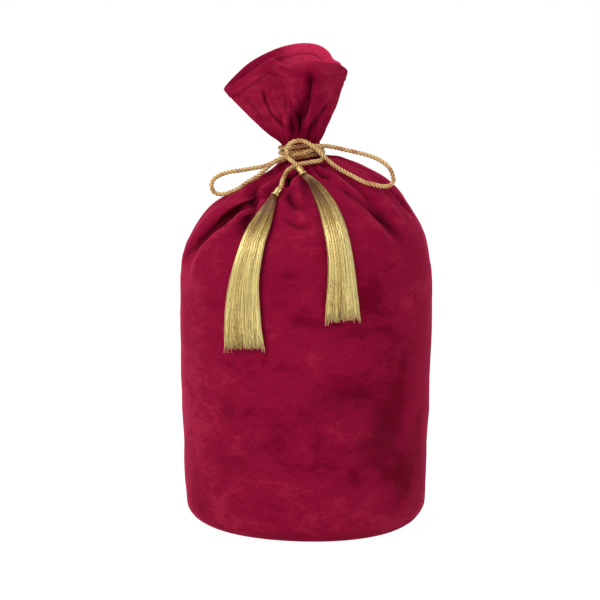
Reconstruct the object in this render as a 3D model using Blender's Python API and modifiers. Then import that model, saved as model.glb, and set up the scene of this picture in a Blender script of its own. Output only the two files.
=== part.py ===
"""Velvet sack, gathered at the neck and tied with a gold cord that ends in two tassels.

Metres, +Z up. The sack stands on its flat base at the origin and its front faces -Y.
"""

import math

import bmesh
import bpy
import numpy as np
from mathutils import Euler, Matrix, Vector
from mathutils.bvhtree import BVHTree

MM = 0.001

# Sack body
BODY_WIDTH = 0.252
BODY_DEPTH = 0.226
SHOULDER_HEIGHT = 0.3635
BASE_EDGE_RADIUS = 0.020

# Neck, where the cord grips the gathered cloth
NECK_RADIUS = 0.0182
NECK_LENGTH = 0.0170
NECK_OFFSET = -0.0045
NECK_TILT_DEG = 4.4

# Ruff above the tie
RUFF_WALL = 0.0030
RUFF_ROOT_WALL = 0.0060
RUFF_HOLLOW_FOOT = 0.30
RUFF_BOW = 0.10

# Cord and tassels
CORD_DIAMETER = 0.0050
CORD_TURNS = 3
CONTACT_GAP = 0.0003
CAP_LENGTH = 0.0110
CAP_RADIUS = 0.0032
CAP_RIM_RADIUS = 0.0040
CAP_RIM_HEIGHT = 0.0024
SKIRT_THICKNESS = 0.0080
SKIRT_EDGE_THICKNESS = 0.0016
SKIRT_ROOT_RADIUS = 0.0029
SKIRT_CLOTH_GAP = 0.0010
SKIRT_BUNDLES = 5
SKIRT_BUNDLE_RISE = 0.10
SKIRT_EDGE_SHARE = 0.985
CAP_TOP_SHARE = 0.80
CAP_TOP_EDGE_SHARE = 0.35

# Section of a fold, in half widths, and how it grows and fades down its length
LIP_PLACE = 1.75
LIP_SPREAD = 0.5
LIP_SHARE = 0.32
FOLD_BEND_POWER = 0.8
FOLD_ROOT_WIDTH_SHARE = 0.35
FOLD_WIDEN_POWER = 0.7
FOLD_GROWN_SHARE = 0.22
FOLD_FADE_POWER = 0.6
PLEAT_GROWN_SHARE = 0.30
PLEAT_FADE_POWER = 0.5

# Mesh density
SEGMENTS = 96
CORD_SIDES_RESOLUTION = 3
CORD_STEPS = 1
WINDING_ARC_POINTS = 3
WINDING_STEPS = 32
CAP_RIM_POINTS = 4
CAP_STEPS = 16
SKIRT_SAMPLES = 13
SKIRT_BRIDGE = 0.004

# The body's outline as shares: height of SHOULDER_HEIGHT, reach left and right of half
# BODY_WIDTH, reach in depth of half BODY_DEPTH, and how far the right side rises above the left
# one as a share of SHOULDER_HEIGHT. The last number is the count of rings up to the next row.
OUTLINE = (
    (0.055, 0.964, 0.966, 0.980, 0.0, 1),
    (0.215, 0.984, 0.972, 0.985, 0.0, 1),
    (0.400, 0.997, 0.990, 0.998, 0.0, 1),
    (0.590, 1.000, 1.000, 1.000, 0.0, 1),
    (0.690, 1.000, 0.998, 0.985, 0.0, 2),
    (0.775, 0.945, 0.955, 0.930, 0.0, 2),
    (0.840, 0.826, 0.864, 0.825, 0.0, 2),
    (0.882, 0.715, 0.786, 0.705, 0.003, 2),
    (0.913, 0.590, 0.720, 0.590, 0.006, 2),
    (0.941, 0.455, 0.614, 0.465, 0.009, 2),
    (0.965, 0.335, 0.482, 0.345, 0.011, 2),
    (0.984, 0.250, 0.345, 0.250, 0.012, 1),
    (0.996, 0.215, 0.240, 0.205, 0.011, 2),
)

# Folds that run down the shoulder from the tie: azimuth at the tie and at the fold's foot in
# degrees, share of SHOULDER_HEIGHT where it ends, depth, and half width at its foot.
SHOULDER_FOLDS = (
    (250.0, 195.0, 0.700, 0.0185, 0.0115),
    (243.0, 233.0, 0.760, 0.0110, 0.0095),
    (258.0, 266.0, 0.850, 0.0115, 0.0080),
    (287.0, 306.0, 0.925, 0.0045, 0.0065),
    (296.0, 325.0, 0.755, 0.0145, 0.0105),
    (338.0, 341.0, 0.855, 0.0050, 0.0100),
    (10.0, 14.0, 0.790, 0.0070, 0.0120),
    (37.0, 44.0, 0.830, 0.0065, 0.0100),
    (63.0, 66.0, 0.760, 0.0085, 0.0130),
    (91.0, 88.0, 0.840, 0.0060, 0.0100),
    (114.0, 112.0, 0.770, 0.0085, 0.0120),
    (140.0, 146.0, 0.850, 0.0055, 0.0090),
    (166.0, 169.0, 0.800, 0.0075, 0.0110),
    (196.0, 188.0, 0.860, 0.0055, 0.0090),
    (221.0, 214.0, 0.900, 0.0045, 0.0080),
)

# Soft swellings of the filling: azimuth, share of SHOULDER_HEIGHT, half size across and up, rise
SWELLINGS = (
    (265.0, 0.815, 0.024, 0.020, 0.0045),
    (222.0, 0.800, 0.026, 0.022, 0.0030),
    (335.0, 0.820, 0.034, 0.024, 0.0030),
)

# The ruff's hem, anticlockwise from its right tip (millimetres from the neck's middle)
HEM = (
    (46.5, -4.0, 78.0),
    (40.5, 4.0, 81.0),
    (39.5, 11.0, 85.0),
    (32.5, 19.0, 88.0),
    (27.5, 27.0, 96.0),
    (16.5, 34.0, 102.0),
    (-1.5, 38.0, 103.0),
    (-21.5, 36.0, 99.0),
    (-41.5, 30.0, 91.0),
    (-56.5, 21.0, 82.0),
    (-67.5, 11.0, 71.0),
    (-75.5, 0.0, 60.0),
    (-67.5, -13.0, 65.0),
    (-53.5, -21.0, 75.0),
    (-40.5, -23.0, 84.0),
    (-30.5, -19.0, 90.0),
    (-23.5, -20.0, 86.0),
    (-15.5, -31.0, 83.0),
    (-3.5, -38.0, 85.0),
    (11.5, -39.0, 87.0),
    (25.5, -33.0, 86.0),
    (34.5, -23.0, 85.0),
    (41.5, -14.0, 82.0),
)

# Pleats in the ruff: azimuth on the hem and at the tie in degrees, share of the ruff's height
# where the pleat ends, depth, and half width in degrees at its deepest place
RUFF_PLEATS = (
    (293.0, 276.0, 0.88, 0.0100, 7.5),
    (262.0, 262.0, 0.62, 0.0070, 6.0),
    (232.0, 248.0, 0.74, 0.0040, 4.5),
    (318.0, 296.0, 0.60, 0.0050, 6.0),
    (350.0, 330.0, 0.70, 0.0045, 6.0),
    (22.0, 28.0, 0.75, 0.0050, 7.0),
    (58.0, 62.0, 0.80, 0.0070, 7.0),
    (92.0, 90.0, 0.70, 0.0060, 7.0),
    (124.0, 120.0, 0.82, 0.0070, 7.0),
    (158.0, 150.0, 0.65, 0.0045, 6.0),
    (206.0, 200.0, 0.60, 0.0035, 5.0),
)

# Routes of the cord's two free ends (millimetres from the neck's middle), each from the turns
# round the neck, out along its loop of the bow, back through the knot and down to its tassel
RIGHT_END = (
    (18.5, -18.6, 5.4),
    (24.9, -13.5, 4.8),
    (34.3, -11.0, 3.1),
    (45.6, -10.0, 0.4),
    (58.4, -10.0, -2.4),
    (71.1, -12.5, -6.2),
    (79.8, -16.0, -10.5),
    (86.0, -20.0, -16.0),
    (88.8, -23.0, -22.0),
    (89.7, -27.0, -28.2),
    (85.7, -34.2, -32.0),
    (77.6, -42.4, -31.9),
    (68.3, -46.4, -29.5),
    (59.9, -42.8, -27.3),
    (51.4, -37.4, -23.3),
    (42.9, -32.6, -19.3),
    (34.9, -28.5, -15.0),
    (28.1, -27.0, -10.0),
    (22.1, -27.8, -4.6),
    (16.8, -28.0, 0.6),
    (11.6, -29.0, 5.0),
    (6.3, -28.3, 8.8),
    (0.4, -27.5, 11.1),
    (-5.9, -27.1, 10.8),
    (-11.2, -27.2, 8.3),
    (-14.2, -27.7, 3.6),
    (-13.9, -29.2, -2.1),
    (-11.4, -32.0, -6.4),
    (-5.1, -35.7, -11.0),
    (-3.1, -38.0, -13.4),
)
LEFT_END = (
    (-21.6, -15.9, -1.8),
    (-22.9, -15.6, -6.6),
    (-28.1, -14.2, -11.2),
    (-36.8, -11.8, -14.8),
    (-46.8, -9.0, -16.9),
    (-59.1, -8.0, -19.2),
    (-71.4, -8.0, -21.0),
    (-80.8, -8.5, -24.2),
    (-86.9, -10.0, -28.7),
    (-88.5, -12.0, -34.4),
    (-85.6, -14.0, -40.4),
    (-78.7, -15.0, -42.2),
    (-69.3, -17.5, -39.6),
    (-59.7, -20.6, -34.8),
    (-51.7, -19.0, -30.0),
    (-44.1, -19.5, -24.7),
    (-37.7, -21.0, -19.2),
    (-31.3, -22.0, -13.4),
    (-24.6, -21.8, -8.4),
    (-17.1, -20.9, -5.3),
    (-8.8, -24.9, -2.7),
    (-0.5, -26.4, -1.8),
    (7.3, -25.5, -0.7),
    (12.9, -23.0, -0.1),
    (17.2, -20.2, -1.6),
    (17.7, -21.5, -5.3),
    (13.1, -25.5, -7.1),
    (6.8, -27.2, -8.4),
    (0.0, -28.0, -10.5),
    (-6.4, -28.9, -13.1),
    (-11.4, -31.0, -15.6),
    (-15.4, -32.0, -19.2),
    (-17.0, -37.0, -22.3),
    (-18.0, -43.0, -25.4),
    (-18.8, -48.5, -28.0),
    (-19.5, -53.5, -30.5),
    (-20.9, -56.0, -32.6),
)

# Where each tassel's cap ends (millimetres from the neck's middle)
RIGHT_CAP_FOOT = (2.1, -45.0, -20.5)
LEFT_CAP_FOOT = (-26.0, -64.0, -39.2)

# The tassels' skirts seen from the front, from the cap down: across and up from the neck's middle
# and width in millimetres, and the share of the full thickness
RIGHT_SKIRT = (
    (9.5, -26.5, 8.5, 0.60),
    (16.0, -34.8, 13.0, 0.72),
    (24.0, -47.5, 17.5, 0.86),
    (30.1, -63.0, 21.0, 1.00),
    (34.1, -79.0, 22.5, 1.00),
    (36.7, -98.0, 24.5, 1.00),
    (37.7, -118.0, 28.0, 0.95),
    (38.1, -136.0, 31.5, 0.88),
    (38.7, -151.5, 34.0, 0.80),
)
LEFT_SKIRT = (
    (-29.4, -47.0, 9.6, 0.62),
    (-33.1, -54.0, 13.6, 0.76),
    (-36.5, -60.5, 17.0, 0.86),
    (-43.5, -74.5, 21.0, 1.00),
    (-48.5, -90.5, 24.0, 1.00),
    (-52.5, -108.0, 27.0, 1.00),
    (-54.9, -127.0, 31.0, 0.95),
    (-55.7, -146.0, 34.5, 0.90),
    (-55.5, -164.0, 37.0, 0.85),
    (-54.1, -179.5, 39.5, 0.80),
)

RUFF_RINGS = 10
RUFF_HOLLOW_RINGS = 6
BASE_EDGE_RINGS = 4


def clear_scene():
    """Remove the scene's objects."""
    for old in list(bpy.data.objects):
        bpy.data.objects.remove(old, do_unlink=True)


def make_material(name, colour, roughness, metallic):
    """Return a Principled material."""
    material = bpy.data.materials.new(name)
    material.use_nodes = True
    shader = material.node_tree.nodes["Principled BSDF"]
    shader.inputs["Base Color"].default_value = (*colour, 1.0)
    shader.inputs["Roughness"].default_value = roughness
    shader.inputs["Metallic"].default_value = metallic
    return material


def add_mesh(name, bm, collection, material, sharp_degrees=60.0):
    """Put a bmesh in the scene as a smooth-shaded object."""
    bmesh.ops.recalc_face_normals(bm, faces=bm.faces[:])
    mesh = bpy.data.meshes.new(name)
    bm.to_mesh(mesh)
    bm.free()
    mesh.shade_smooth()
    mesh.set_sharp_from_angle(angle=math.radians(sharp_degrees))
    mesh.materials.append(material)
    built = bpy.data.objects.new(name, mesh)
    collection.objects.link(built)
    return built


def catmull_rom(p0, p1, p2, p3, t):
    """Smooth value between p1 and p2 at share t."""
    return 0.5 * (
        2 * p1
        + (p2 - p0) * t
        + (2 * p0 - 5 * p1 + 4 * p2 - p3) * t**2
        + (3 * p1 - p0 - 3 * p2 + p3) * t**3
    )


def open_curve(points, steps):
    """Points of a smooth curve through the given ones, with steps[i] spans after point i."""
    rows = np.asarray(points, float)
    ends = np.vstack([2 * rows[0] - rows[1], rows, 2 * rows[-1] - rows[-2]])
    smooth = []
    for i in range(len(rows) - 1):
        for k in range(steps[i]):
            smooth.append(catmull_rom(*ends[i : i + 4], k / steps[i]))
    smooth.append(rows[-1])
    return np.array(smooth)


def closed_curve(points, count):
    """Evenly spaced points of a smooth closed curve through the given ones."""
    rows = np.asarray(points, float)
    fine = 16
    dense = []
    for i in range(len(rows)):
        near = [rows[(i + k) % len(rows)] for k in (-1, 0, 1, 2)]
        dense += [catmull_rom(*near, k / fine) for k in range(fine)]
    dense = np.array(dense + [dense[0]])
    walked = np.concatenate([[0], np.cumsum(np.linalg.norm(np.diff(dense, axis=0), axis=1))])
    wanted = np.arange(count) / count * walked[-1]
    return np.stack([np.interp(wanted, walked, dense[:, axis]) for axis in range(3)], axis=1)


def turn_between(a, b):
    """Signed difference of two angles in radians."""
    return (a - b + math.pi) % (2 * math.pi) - math.pi


def valley(across):
    """Section of a cloth fold: a trough with a raised lip on each side."""
    lips = np.exp(-((abs(across) - LIP_PLACE) ** 2) / LIP_SPREAD)
    return np.exp(-(across**2)) - LIP_SHARE * lips


def shoulder_relief(azimuth, height, reach):
    """How far the cloth lies inside the plain outline at this azimuth, height and reach."""
    share = height / SHOULDER_HEIGHT
    inward = 0.0
    for top, foot, end, depth, half_width in SHOULDER_FOLDS:
        down = (1.0 - share) / (1.0 - end)
        if not 0.0 < down < 1.0:
            continue
        bend = math.radians(top + (foot - top) * down**FOLD_BEND_POWER)
        wide = FOLD_ROOT_WIDTH_SHARE + (1.0 - FOLD_ROOT_WIDTH_SHARE) * down**FOLD_WIDEN_POWER
        across = turn_between(azimuth, bend) * reach / (half_width * wide)
        grown = min(1.0, down / FOLD_GROWN_SHARE)
        inward += depth * grown * (1.0 - down) ** FOLD_FADE_POWER * valley(across)
    for bearing, level, half_across, half_up, rise in SWELLINGS:
        across = turn_between(azimuth, math.radians(bearing)) * reach / half_across
        up = (share - level) * SHOULDER_HEIGHT / half_up
        inward -= rise * math.exp(-(across**2) - up**2)
    return inward


def body_rings():
    """Rings of the sack from its flat base up to the foot of the neck."""
    azimuths = np.arange(SEGMENTS) / SEGMENTS * 2 * math.pi
    outline = open_curve([row[:5] for row in OUTLINE], [row[5] for row in OUTLINE[:-1]])

    rings = []
    for turn in range(BASE_EDGE_RINGS):
        bend = math.pi / 2 * turn / BASE_EDGE_RINGS
        inset = BASE_EDGE_RADIUS * (1 - math.sin(bend))
        height = BASE_EDGE_RADIUS * (1 - math.cos(bend))
        rings.append(base_ring(azimuths, outline[0], inset, height))
    for level, left, right, depth, rise in outline:
        left_reach = left * BODY_WIDTH / 2
        right_reach = right * BODY_WIDTH / 2
        centre = (right_reach - left_reach) / 2
        half_width = (right_reach + left_reach) / 2
        half_depth = depth * BODY_DEPTH / 2
        ring = []
        for azimuth in azimuths:
            height = SHOULDER_HEIGHT * (level + rise * math.cos(azimuth))
            reach = math.hypot(half_width * math.cos(azimuth), half_depth * math.sin(azimuth))
            keep = 1.0 - shoulder_relief(azimuth, SHOULDER_HEIGHT * level, reach) / reach
            x = centre + half_width * keep * math.cos(azimuth)
            ring.append((x, half_depth * keep * math.sin(azimuth), height))
        rings.append(np.array(ring))
    return rings


def base_ring(azimuths, row, inset, height):
    """One ring of the rounded edge round the flat base."""
    left_reach = row[1] * BODY_WIDTH / 2 - inset
    right_reach = row[2] * BODY_WIDTH / 2 - inset
    half_depth = row[3] * BODY_DEPTH / 2 - inset
    centre = (right_reach - left_reach) / 2
    half_width = (right_reach + left_reach) / 2
    x = centre + half_width * np.cos(azimuths)
    y = half_depth * np.sin(azimuths)
    return np.stack([x, y, np.full_like(x, height)], axis=1)


def from_neck(point):
    """A place given in millimetres from the neck's middle."""
    middle = Vector((NECK_OFFSET, 0.0, SHOULDER_HEIGHT + NECK_LENGTH / 2))
    return middle + Vector(point) * MM


def neck_frame():
    """Placement of the neck: its middle, with its axis leaning a little to the left."""
    lean = Euler((0.0, -math.radians(NECK_TILT_DEG), 0.0))
    return Matrix.LocRotScale(from_neck((0.0, 0.0, 0.0)), lean, None)


def neck_ring(share):
    """A round ring of gathered cloth under the cord, at a share of the neck's length."""
    place = neck_frame()
    level = NECK_LENGTH * (share - 0.5)
    ring = []
    for i in range(SEGMENTS):
        azimuth = 2 * math.pi * i / SEGMENTS
        across = Vector((NECK_RADIUS * math.cos(azimuth), NECK_RADIUS * math.sin(azimuth), level))
        ring.append(tuple(place @ across))
    return np.array(ring)


def ruff_grid(shares):
    """Outer face of the ruff: one ring of points for each share of the way up to the hem."""
    foot = neck_ring(1.0)
    hem = closed_curve([from_neck(point) for point in HEM], SEGMENTS)
    azimuths = np.arange(SEGMENTS) / SEGMENTS * 2 * math.pi
    rings = []
    for share in shares:
        out = share + RUFF_BOW * math.sin(math.pi * math.sqrt(share))
        ring = foot + (hem - foot) * np.array([out, out, share])
        axis = ring.mean(axis=0)
        for i, azimuth in enumerate(azimuths):
            inward = 0.0
            for top, tie, end, depth, half_width in RUFF_PLEATS:
                if share >= end:
                    continue
                up = share / end
                bend = math.radians(tie + turn_degrees(top, tie) * up)
                across = math.degrees(turn_between(azimuth, bend)) / half_width
                grown = min(1.0, up / PLEAT_GROWN_SHARE)
                inward += depth * grown * (1.0 - up) ** PLEAT_FADE_POWER * valley(across)
            toward = axis - ring[i]
            toward[2] = 0.0
            ring[i] += toward / np.linalg.norm(toward) * inward
        rings.append(ring)
    return np.array(rings)


def turn_degrees(top, tie):
    """Signed difference of two azimuths in degrees."""
    return (top - tie + 180.0) % 360.0 - 180.0


def hollow_ring(ring, wall):
    """The ring inside a ring of the ruff, clear of its pleats by at least the wall."""
    axis = ring.mean(axis=0)
    spokes = ring - axis
    spokes[:, 2] = 0.0
    reach = np.linalg.norm(spokes, axis=1)
    nearest = np.minimum.reduce([np.roll(reach, k) for k in (-2, -1, 0, 1, 2)])
    inner = axis + spokes / reach[:, None] * (nearest - wall)[:, None]
    inner[:, 2] = ring[:, 2]
    return inner


def ruff_rings():
    """Rings of the ruff: up its outer face, over the hem, and down into the hollow."""
    outer_shares = [(k + 1) / RUFF_RINGS for k in range(RUFF_RINGS)]
    outer = ruff_grid(outer_shares)
    drop = (1.0 - RUFF_HOLLOW_FOOT) / RUFF_HOLLOW_RINGS
    inner_shares = [1.0 - drop * k for k in range(RUFF_HOLLOW_RINGS + 1)]
    inner = []
    for share, ring in zip(inner_shares, ruff_grid(inner_shares)):
        deep = (1.0 - share) / (1.0 - RUFF_HOLLOW_FOOT)
        inner.append(hollow_ring(ring, RUFF_WALL + (RUFF_ROOT_WALL - RUFF_WALL) * deep))
    crest = (outer[-1] + inner[0]) / 2 + np.array([0, 0, RUFF_WALL / 2])
    return list(outer) + [crest] + inner


def build_sack(collection):
    """The sack with its filling: flat base, full body, gathered neck and open ruff."""
    rings = body_rings()
    rings += [neck_ring(0.0), neck_ring(1.0)]
    rings += ruff_rings()
    bm = bmesh.new()
    loops = [[bm.verts.new(point) for point in ring] for ring in rings]
    for lower, upper in zip(loops, loops[1:]):
        for i in range(SEGMENTS):
            j = (i + 1) % SEGMENTS
            bm.faces.new((lower[i], lower[j], upper[j], upper[i]))
    bm.faces.new(loops[0])
    bm.faces.new(loops[-1])
    velvet = make_material("velvet", (0.30, 0.008, 0.034), 0.85, 0.0)
    return add_mesh("sack", bm, collection, velvet)


def build_winding(collection, gold):
    """The turns of cord round the neck, as one turned ring with a rounded step for each turn."""
    inner = NECK_RADIUS + CONTACT_GAP
    radius = CORD_DIAMETER / 2
    top = CORD_DIAMETER * CORD_TURNS / 2
    profile = [(inner, top)]
    for turn in range(CORD_TURNS):
        middle = top - CORD_DIAMETER * (turn + 0.5)
        for k in range(1, WINDING_ARC_POINTS + 1):
            bend = math.pi * (0.5 - k / (WINDING_ARC_POINTS + 1))
            reach = inner + radius * (1 + math.cos(bend))
            profile.append((reach, middle + radius * math.sin(bend)))
    profile.append((inner, -top))
    mesh = bpy.data.meshes.new("cord_winding")
    count = len(profile)
    edges = [(i, (i + 1) % count) for i in range(count)]
    mesh.from_pydata([(x, 0.0, z) for x, z in profile], edges, [])
    mesh.materials.append(gold)
    ring = bpy.data.objects.new("cord_winding", mesh)
    ring.matrix_world = neck_frame()
    collection.objects.link(ring)
    screw = ring.modifiers.new("turns", "SCREW")
    screw.steps = WINDING_STEPS
    screw.render_steps = WINDING_STEPS
    screw.use_merge_vertices = True
    screw.merge_threshold = 0.00001
    screw.use_smooth_shade = True
    return ring


def build_cord_end(name, route, collection, gold):
    """One free end of the cord, as a round tube along a smooth curve through its route."""
    points = open_curve([from_neck(point) for point in route], [CORD_STEPS] * (len(route) - 1))
    curve = bpy.data.curves.new(name, "CURVE")
    curve.dimensions = "3D"
    curve.bevel_depth = CORD_DIAMETER / 2
    curve.bevel_resolution = CORD_SIDES_RESOLUTION
    curve.use_fill_caps = True
    spline = curve.splines.new("POLY")
    spline.points.add(len(points) - 1)
    for knot, point in zip(spline.points, points):
        knot.co = (*point, 1.0)
    curve.materials.append(gold)
    tube = bpy.data.objects.new(name, curve)
    collection.objects.link(tube)
    return tube


def cap_axis(route, foot):
    """Start, direction and end of a tassel's cap, which grips the end of the cord."""
    end = from_neck(route[-1])
    direction = (from_neck(foot) - end).normalized()
    start = end + direction * CONTACT_GAP
    return start, direction, start + direction * CAP_LENGTH


def build_cap(name, route, foot, collection, gold):
    """A tassel's metal cap: a turned sleeve with a rounded rim at its lower end."""
    rim = CAP_RIM_HEIGHT / 2
    profile = [(0.0, 0.0), (CAP_RADIUS * CAP_TOP_SHARE, 0.0)]
    profile.append((CAP_RADIUS, CAP_RADIUS * CAP_TOP_EDGE_SHARE))
    profile.append((CAP_RADIUS, CAP_LENGTH - CAP_RIM_HEIGHT))
    for k in range(1, CAP_RIM_POINTS):
        bend = math.pi * k / CAP_RIM_POINTS
        reach = CAP_RADIUS + (CAP_RIM_RADIUS - CAP_RADIUS) * math.sin(bend)
        profile.append((reach, CAP_LENGTH - rim - rim * math.cos(bend)))
    profile += [(CAP_RADIUS, CAP_LENGTH), (0.0, CAP_LENGTH)]
    mesh = bpy.data.meshes.new(name)
    edges = [(i, i + 1) for i in range(len(profile) - 1)]
    mesh.from_pydata([(x, 0.0, -z) for x, z in profile], edges, [])
    mesh.materials.append(gold)
    start, direction, _ = cap_axis(route, foot)
    cap = bpy.data.objects.new(name, mesh)
    cap.location = start
    cap.rotation_euler = direction.to_track_quat("-Z", "Y").to_euler()
    collection.objects.link(cap)
    screw = cap.modifiers.new("turn", "SCREW")
    screw.steps = CAP_STEPS
    screw.render_steps = CAP_STEPS
    screw.use_merge_vertices = True
    screw.merge_threshold = 0.00001
    screw.use_smooth_shade = True
    return cap


def skirt_rings(route, foot, stations, cloth):
    """Rings of a tassel's skirt: a round root under the cap, then flat bundles on the cloth."""
    _, direction, end = cap_axis(route, foot)
    over = np.linspace(-1.0, 1.0, SKIRT_SAMPLES)
    root = end + direction * CONTACT_GAP
    side = Vector((0.0, 1.0, 0.0)).cross(direction).normalized()
    side = side if side.x > 0 else -side
    out = side.cross(direction)
    out = out if out.y < 0 else -out
    ring = [root + (side * math.cos(b) + out * math.sin(b)) * SKIRT_ROOT_RADIUS
            for b in np.linspace(math.pi, -math.pi, 2 * SKIRT_SAMPLES - 1)[:-1]]
    rings = [ring]
    centres = [from_neck((across, 0.0, up)) for across, up, _, _ in stations]
    for k, (_, _, width, fullness) in enumerate(stations):
        ahead = centres[min(k + 1, len(centres) - 1)] - centres[max(k - 1, 0)]
        across = Vector((-ahead.z, 0.0, ahead.x)).normalized()
        under = [cloth_point(cloth, centres[k] + across * q * width / 2 * MM) for q in over]
        normal = sum((hit[1] for hit in under), Vector()).normalized()
        lower, upper = [], []
        for q, (point, _) in zip(over, under):
            dome = math.sqrt(1.0 - (q * SKIRT_EDGE_SHARE) ** 2)
            bundle = 1.0 + SKIRT_BUNDLE_RISE * math.cos(math.pi * q * SKIRT_BUNDLES)
            thick = SKIRT_EDGE_THICKNESS + SKIRT_THICKNESS * fullness * dome * bundle
            lower.append(point + normal * SKIRT_CLOTH_GAP)
            upper.append(point + normal * (SKIRT_CLOTH_GAP + thick))
        rings.append(upper + lower[-2:0:-1])
    return rings


def cloth_point(cloth, place):
    """Point of the sack's front behind a place seen from the front, and the cloth's normal."""
    best = None
    for aside in (-SKIRT_BRIDGE, 0.0, SKIRT_BRIDGE):
        start = Vector((place.x + aside, -BODY_DEPTH, place.z))
        hit, normal, _, _ = cloth.ray_cast(start, Vector((0.0, 1.0, 0.0)))
        if hit is None:
            hit, normal, _, _ = cloth.find_nearest(start)
        if best is None or hit.y < best[0].y:
            best = (Vector((place.x, hit.y, place.z)), normal)
    return best


def build_skirt(name, route, foot, stations, cloth, collection, thread):
    """A tassel's skirt of gold threads, lying on the front of the sack."""
    rings = skirt_rings(route, foot, stations, cloth)
    bm = bmesh.new()
    loops = [[bm.verts.new(point) for point in ring] for ring in rings]
    count = len(loops[0])
    for upper, lower in zip(loops, loops[1:]):
        for i in range(count):
            j = (i + 1) % count
            bm.faces.new((upper[i], upper[j], lower[j], lower[i]))
    for loop in (loops[0], loops[-1]):
        middle = sum((vert.co for vert in loop), Vector()) / count
        hub = bm.verts.new(middle)
        for i in range(count):
            bm.faces.new((loop[i], loop[(i + 1) % count], hub))
    return add_mesh(name, bm, collection, thread)


def main():
    """Build every sub-part of the tied sack."""
    clear_scene()
    parts = bpy.data.collections.new("velvet_sack")
    bpy.context.scene.collection.children.link(parts)
    sack = build_sack(parts)
    cloth = BVHTree.FromObject(sack, bpy.context.evaluated_depsgraph_get())
    gold = make_material("gold_cord", (0.62, 0.36, 0.13), 0.42, 0.55)
    metal = make_material("gold_metal", (0.80, 0.56, 0.22), 0.28, 1.0)
    thread = make_material("gold_thread", (0.55, 0.38, 0.13), 0.48, 0.45)
    build_winding(parts, gold)
    sides = (
        ("left", LEFT_END, LEFT_CAP_FOOT, LEFT_SKIRT),
        ("right", RIGHT_END, RIGHT_CAP_FOOT, RIGHT_SKIRT),
    )
    for side, route, foot, stations in sides:
        build_cord_end(f"cord_bow_{side}", route, parts, gold)
        build_cap(f"tassel_cap_{side}", route, foot, parts, metal)
        build_skirt(f"tassel_skirt_{side}", route, foot, stations, cloth, parts, thread)


main()
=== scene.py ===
"""Velvet sack, gathered at the neck and tied with a twisted gold cord that ends in two tassels.

Metres, +Z up. The sack stands on its flat base at the origin and its front faces -Y.
"""

import logging
import math
import random
from dataclasses import dataclass, field
from enum import Enum

import bmesh
import bpy
import numpy as np
from mathutils import Matrix, Vector, noise
from mathutils.bvhtree import BVHTree


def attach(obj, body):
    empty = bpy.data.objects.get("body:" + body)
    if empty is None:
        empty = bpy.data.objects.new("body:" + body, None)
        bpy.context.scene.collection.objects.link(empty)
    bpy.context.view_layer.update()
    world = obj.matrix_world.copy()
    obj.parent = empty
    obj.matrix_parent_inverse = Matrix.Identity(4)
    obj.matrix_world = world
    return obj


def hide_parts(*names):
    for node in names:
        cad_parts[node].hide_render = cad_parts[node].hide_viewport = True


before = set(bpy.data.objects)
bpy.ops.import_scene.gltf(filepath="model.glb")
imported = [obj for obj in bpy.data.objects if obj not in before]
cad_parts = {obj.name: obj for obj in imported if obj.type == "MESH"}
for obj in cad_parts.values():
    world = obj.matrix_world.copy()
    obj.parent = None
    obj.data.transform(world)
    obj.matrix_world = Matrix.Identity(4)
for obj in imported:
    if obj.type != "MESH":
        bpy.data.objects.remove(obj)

LOG = logging.getLogger("velvet_sack")
MM = 0.001
BODY = "root"

# Middle of the neck, where the cord grips it; the next tables are millimetres from there
NECK_MIDDLE = (-4.5, 0.0, 372.0)
NECK_TILT_DEG = 4.4

# Routes of the cord's two free ends, from the turns round the neck to the tassels
RIGHT_END = (
    (18.5, -18.6, 5.4), (24.9, -13.5, 4.8), (34.3, -11.0, 3.1), (45.6, -10.0, 0.4),
    (58.4, -10.0, -2.4), (71.1, -12.5, -6.2), (79.8, -16.0, -10.5), (86.0, -20.0, -16.0),
    (88.8, -23.0, -22.0), (89.7, -27.0, -28.2), (85.7, -34.2, -32.0), (77.6, -42.4, -31.9),
    (68.3, -46.4, -29.5), (59.9, -42.8, -27.3), (51.4, -37.4, -23.3), (42.9, -32.6, -19.3),
    (34.9, -28.5, -15.0), (28.1, -27.0, -10.0), (22.1, -27.8, -4.6), (16.8, -28.0, 0.6),
    (11.6, -29.0, 5.0), (6.3, -28.3, 8.8), (0.4, -27.5, 11.1), (-5.9, -27.1, 10.8),
    (-11.2, -27.2, 8.3), (-14.2, -27.7, 3.6), (-13.9, -29.2, -2.1), (-11.4, -32.0, -6.4),
    (-5.1, -35.7, -11.0), (-3.1, -38.0, -13.4),
)
LEFT_END = (
    (-20.1, -16.8, -8.6), (-28.1, -14.2, -11.2), (-36.8, -11.8, -14.8), (-46.8, -9.0, -16.9),
    (-59.1, -8.0, -19.2), (-71.4, -8.0, -21.0), (-80.8, -8.5, -24.2), (-86.9, -10.0, -28.7),
    (-88.5, -12.0, -34.4), (-85.6, -14.0, -40.4), (-78.7, -15.0, -42.2), (-69.3, -17.5, -39.6),
    (-59.7, -20.9, -34.6), (-51.9, -20.3, -29.2), (-44.1, -19.5, -24.7), (-37.7, -21.0, -19.2),
    (-31.3, -22.0, -13.4), (-24.6, -21.8, -8.4), (-17.1, -20.9, -5.3), (-8.8, -24.9, -2.7),
    (-0.8, -26.3, -1.6), (6.0, -25.9, 0.6), (14.0, -22.4, 2.2), (17.6, -20.2, 1.2),
    (20.4, -19.4, -1.8), (21.2, -20.8, -5.4), (19.6, -23.9, -8.0), (16.2, -26.6, -8.7),
    (8.0, -28.9, -9.6), (-0.4, -28.3, -11.2), (-6.0, -28.9, -13.1), (-10.6, -30.4, -15.3),
    (-14.2, -33.0, -18.6), (-16.4, -37.4, -22.1), (-18.0, -43.0, -25.4), (-18.8, -48.5, -28.0),
    (-19.5, -53.5, -30.5), (-20.9, -56.0, -32.6),
)
RIGHT_CAP_FOOT = (2.1, -45.0, -20.5)
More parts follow.
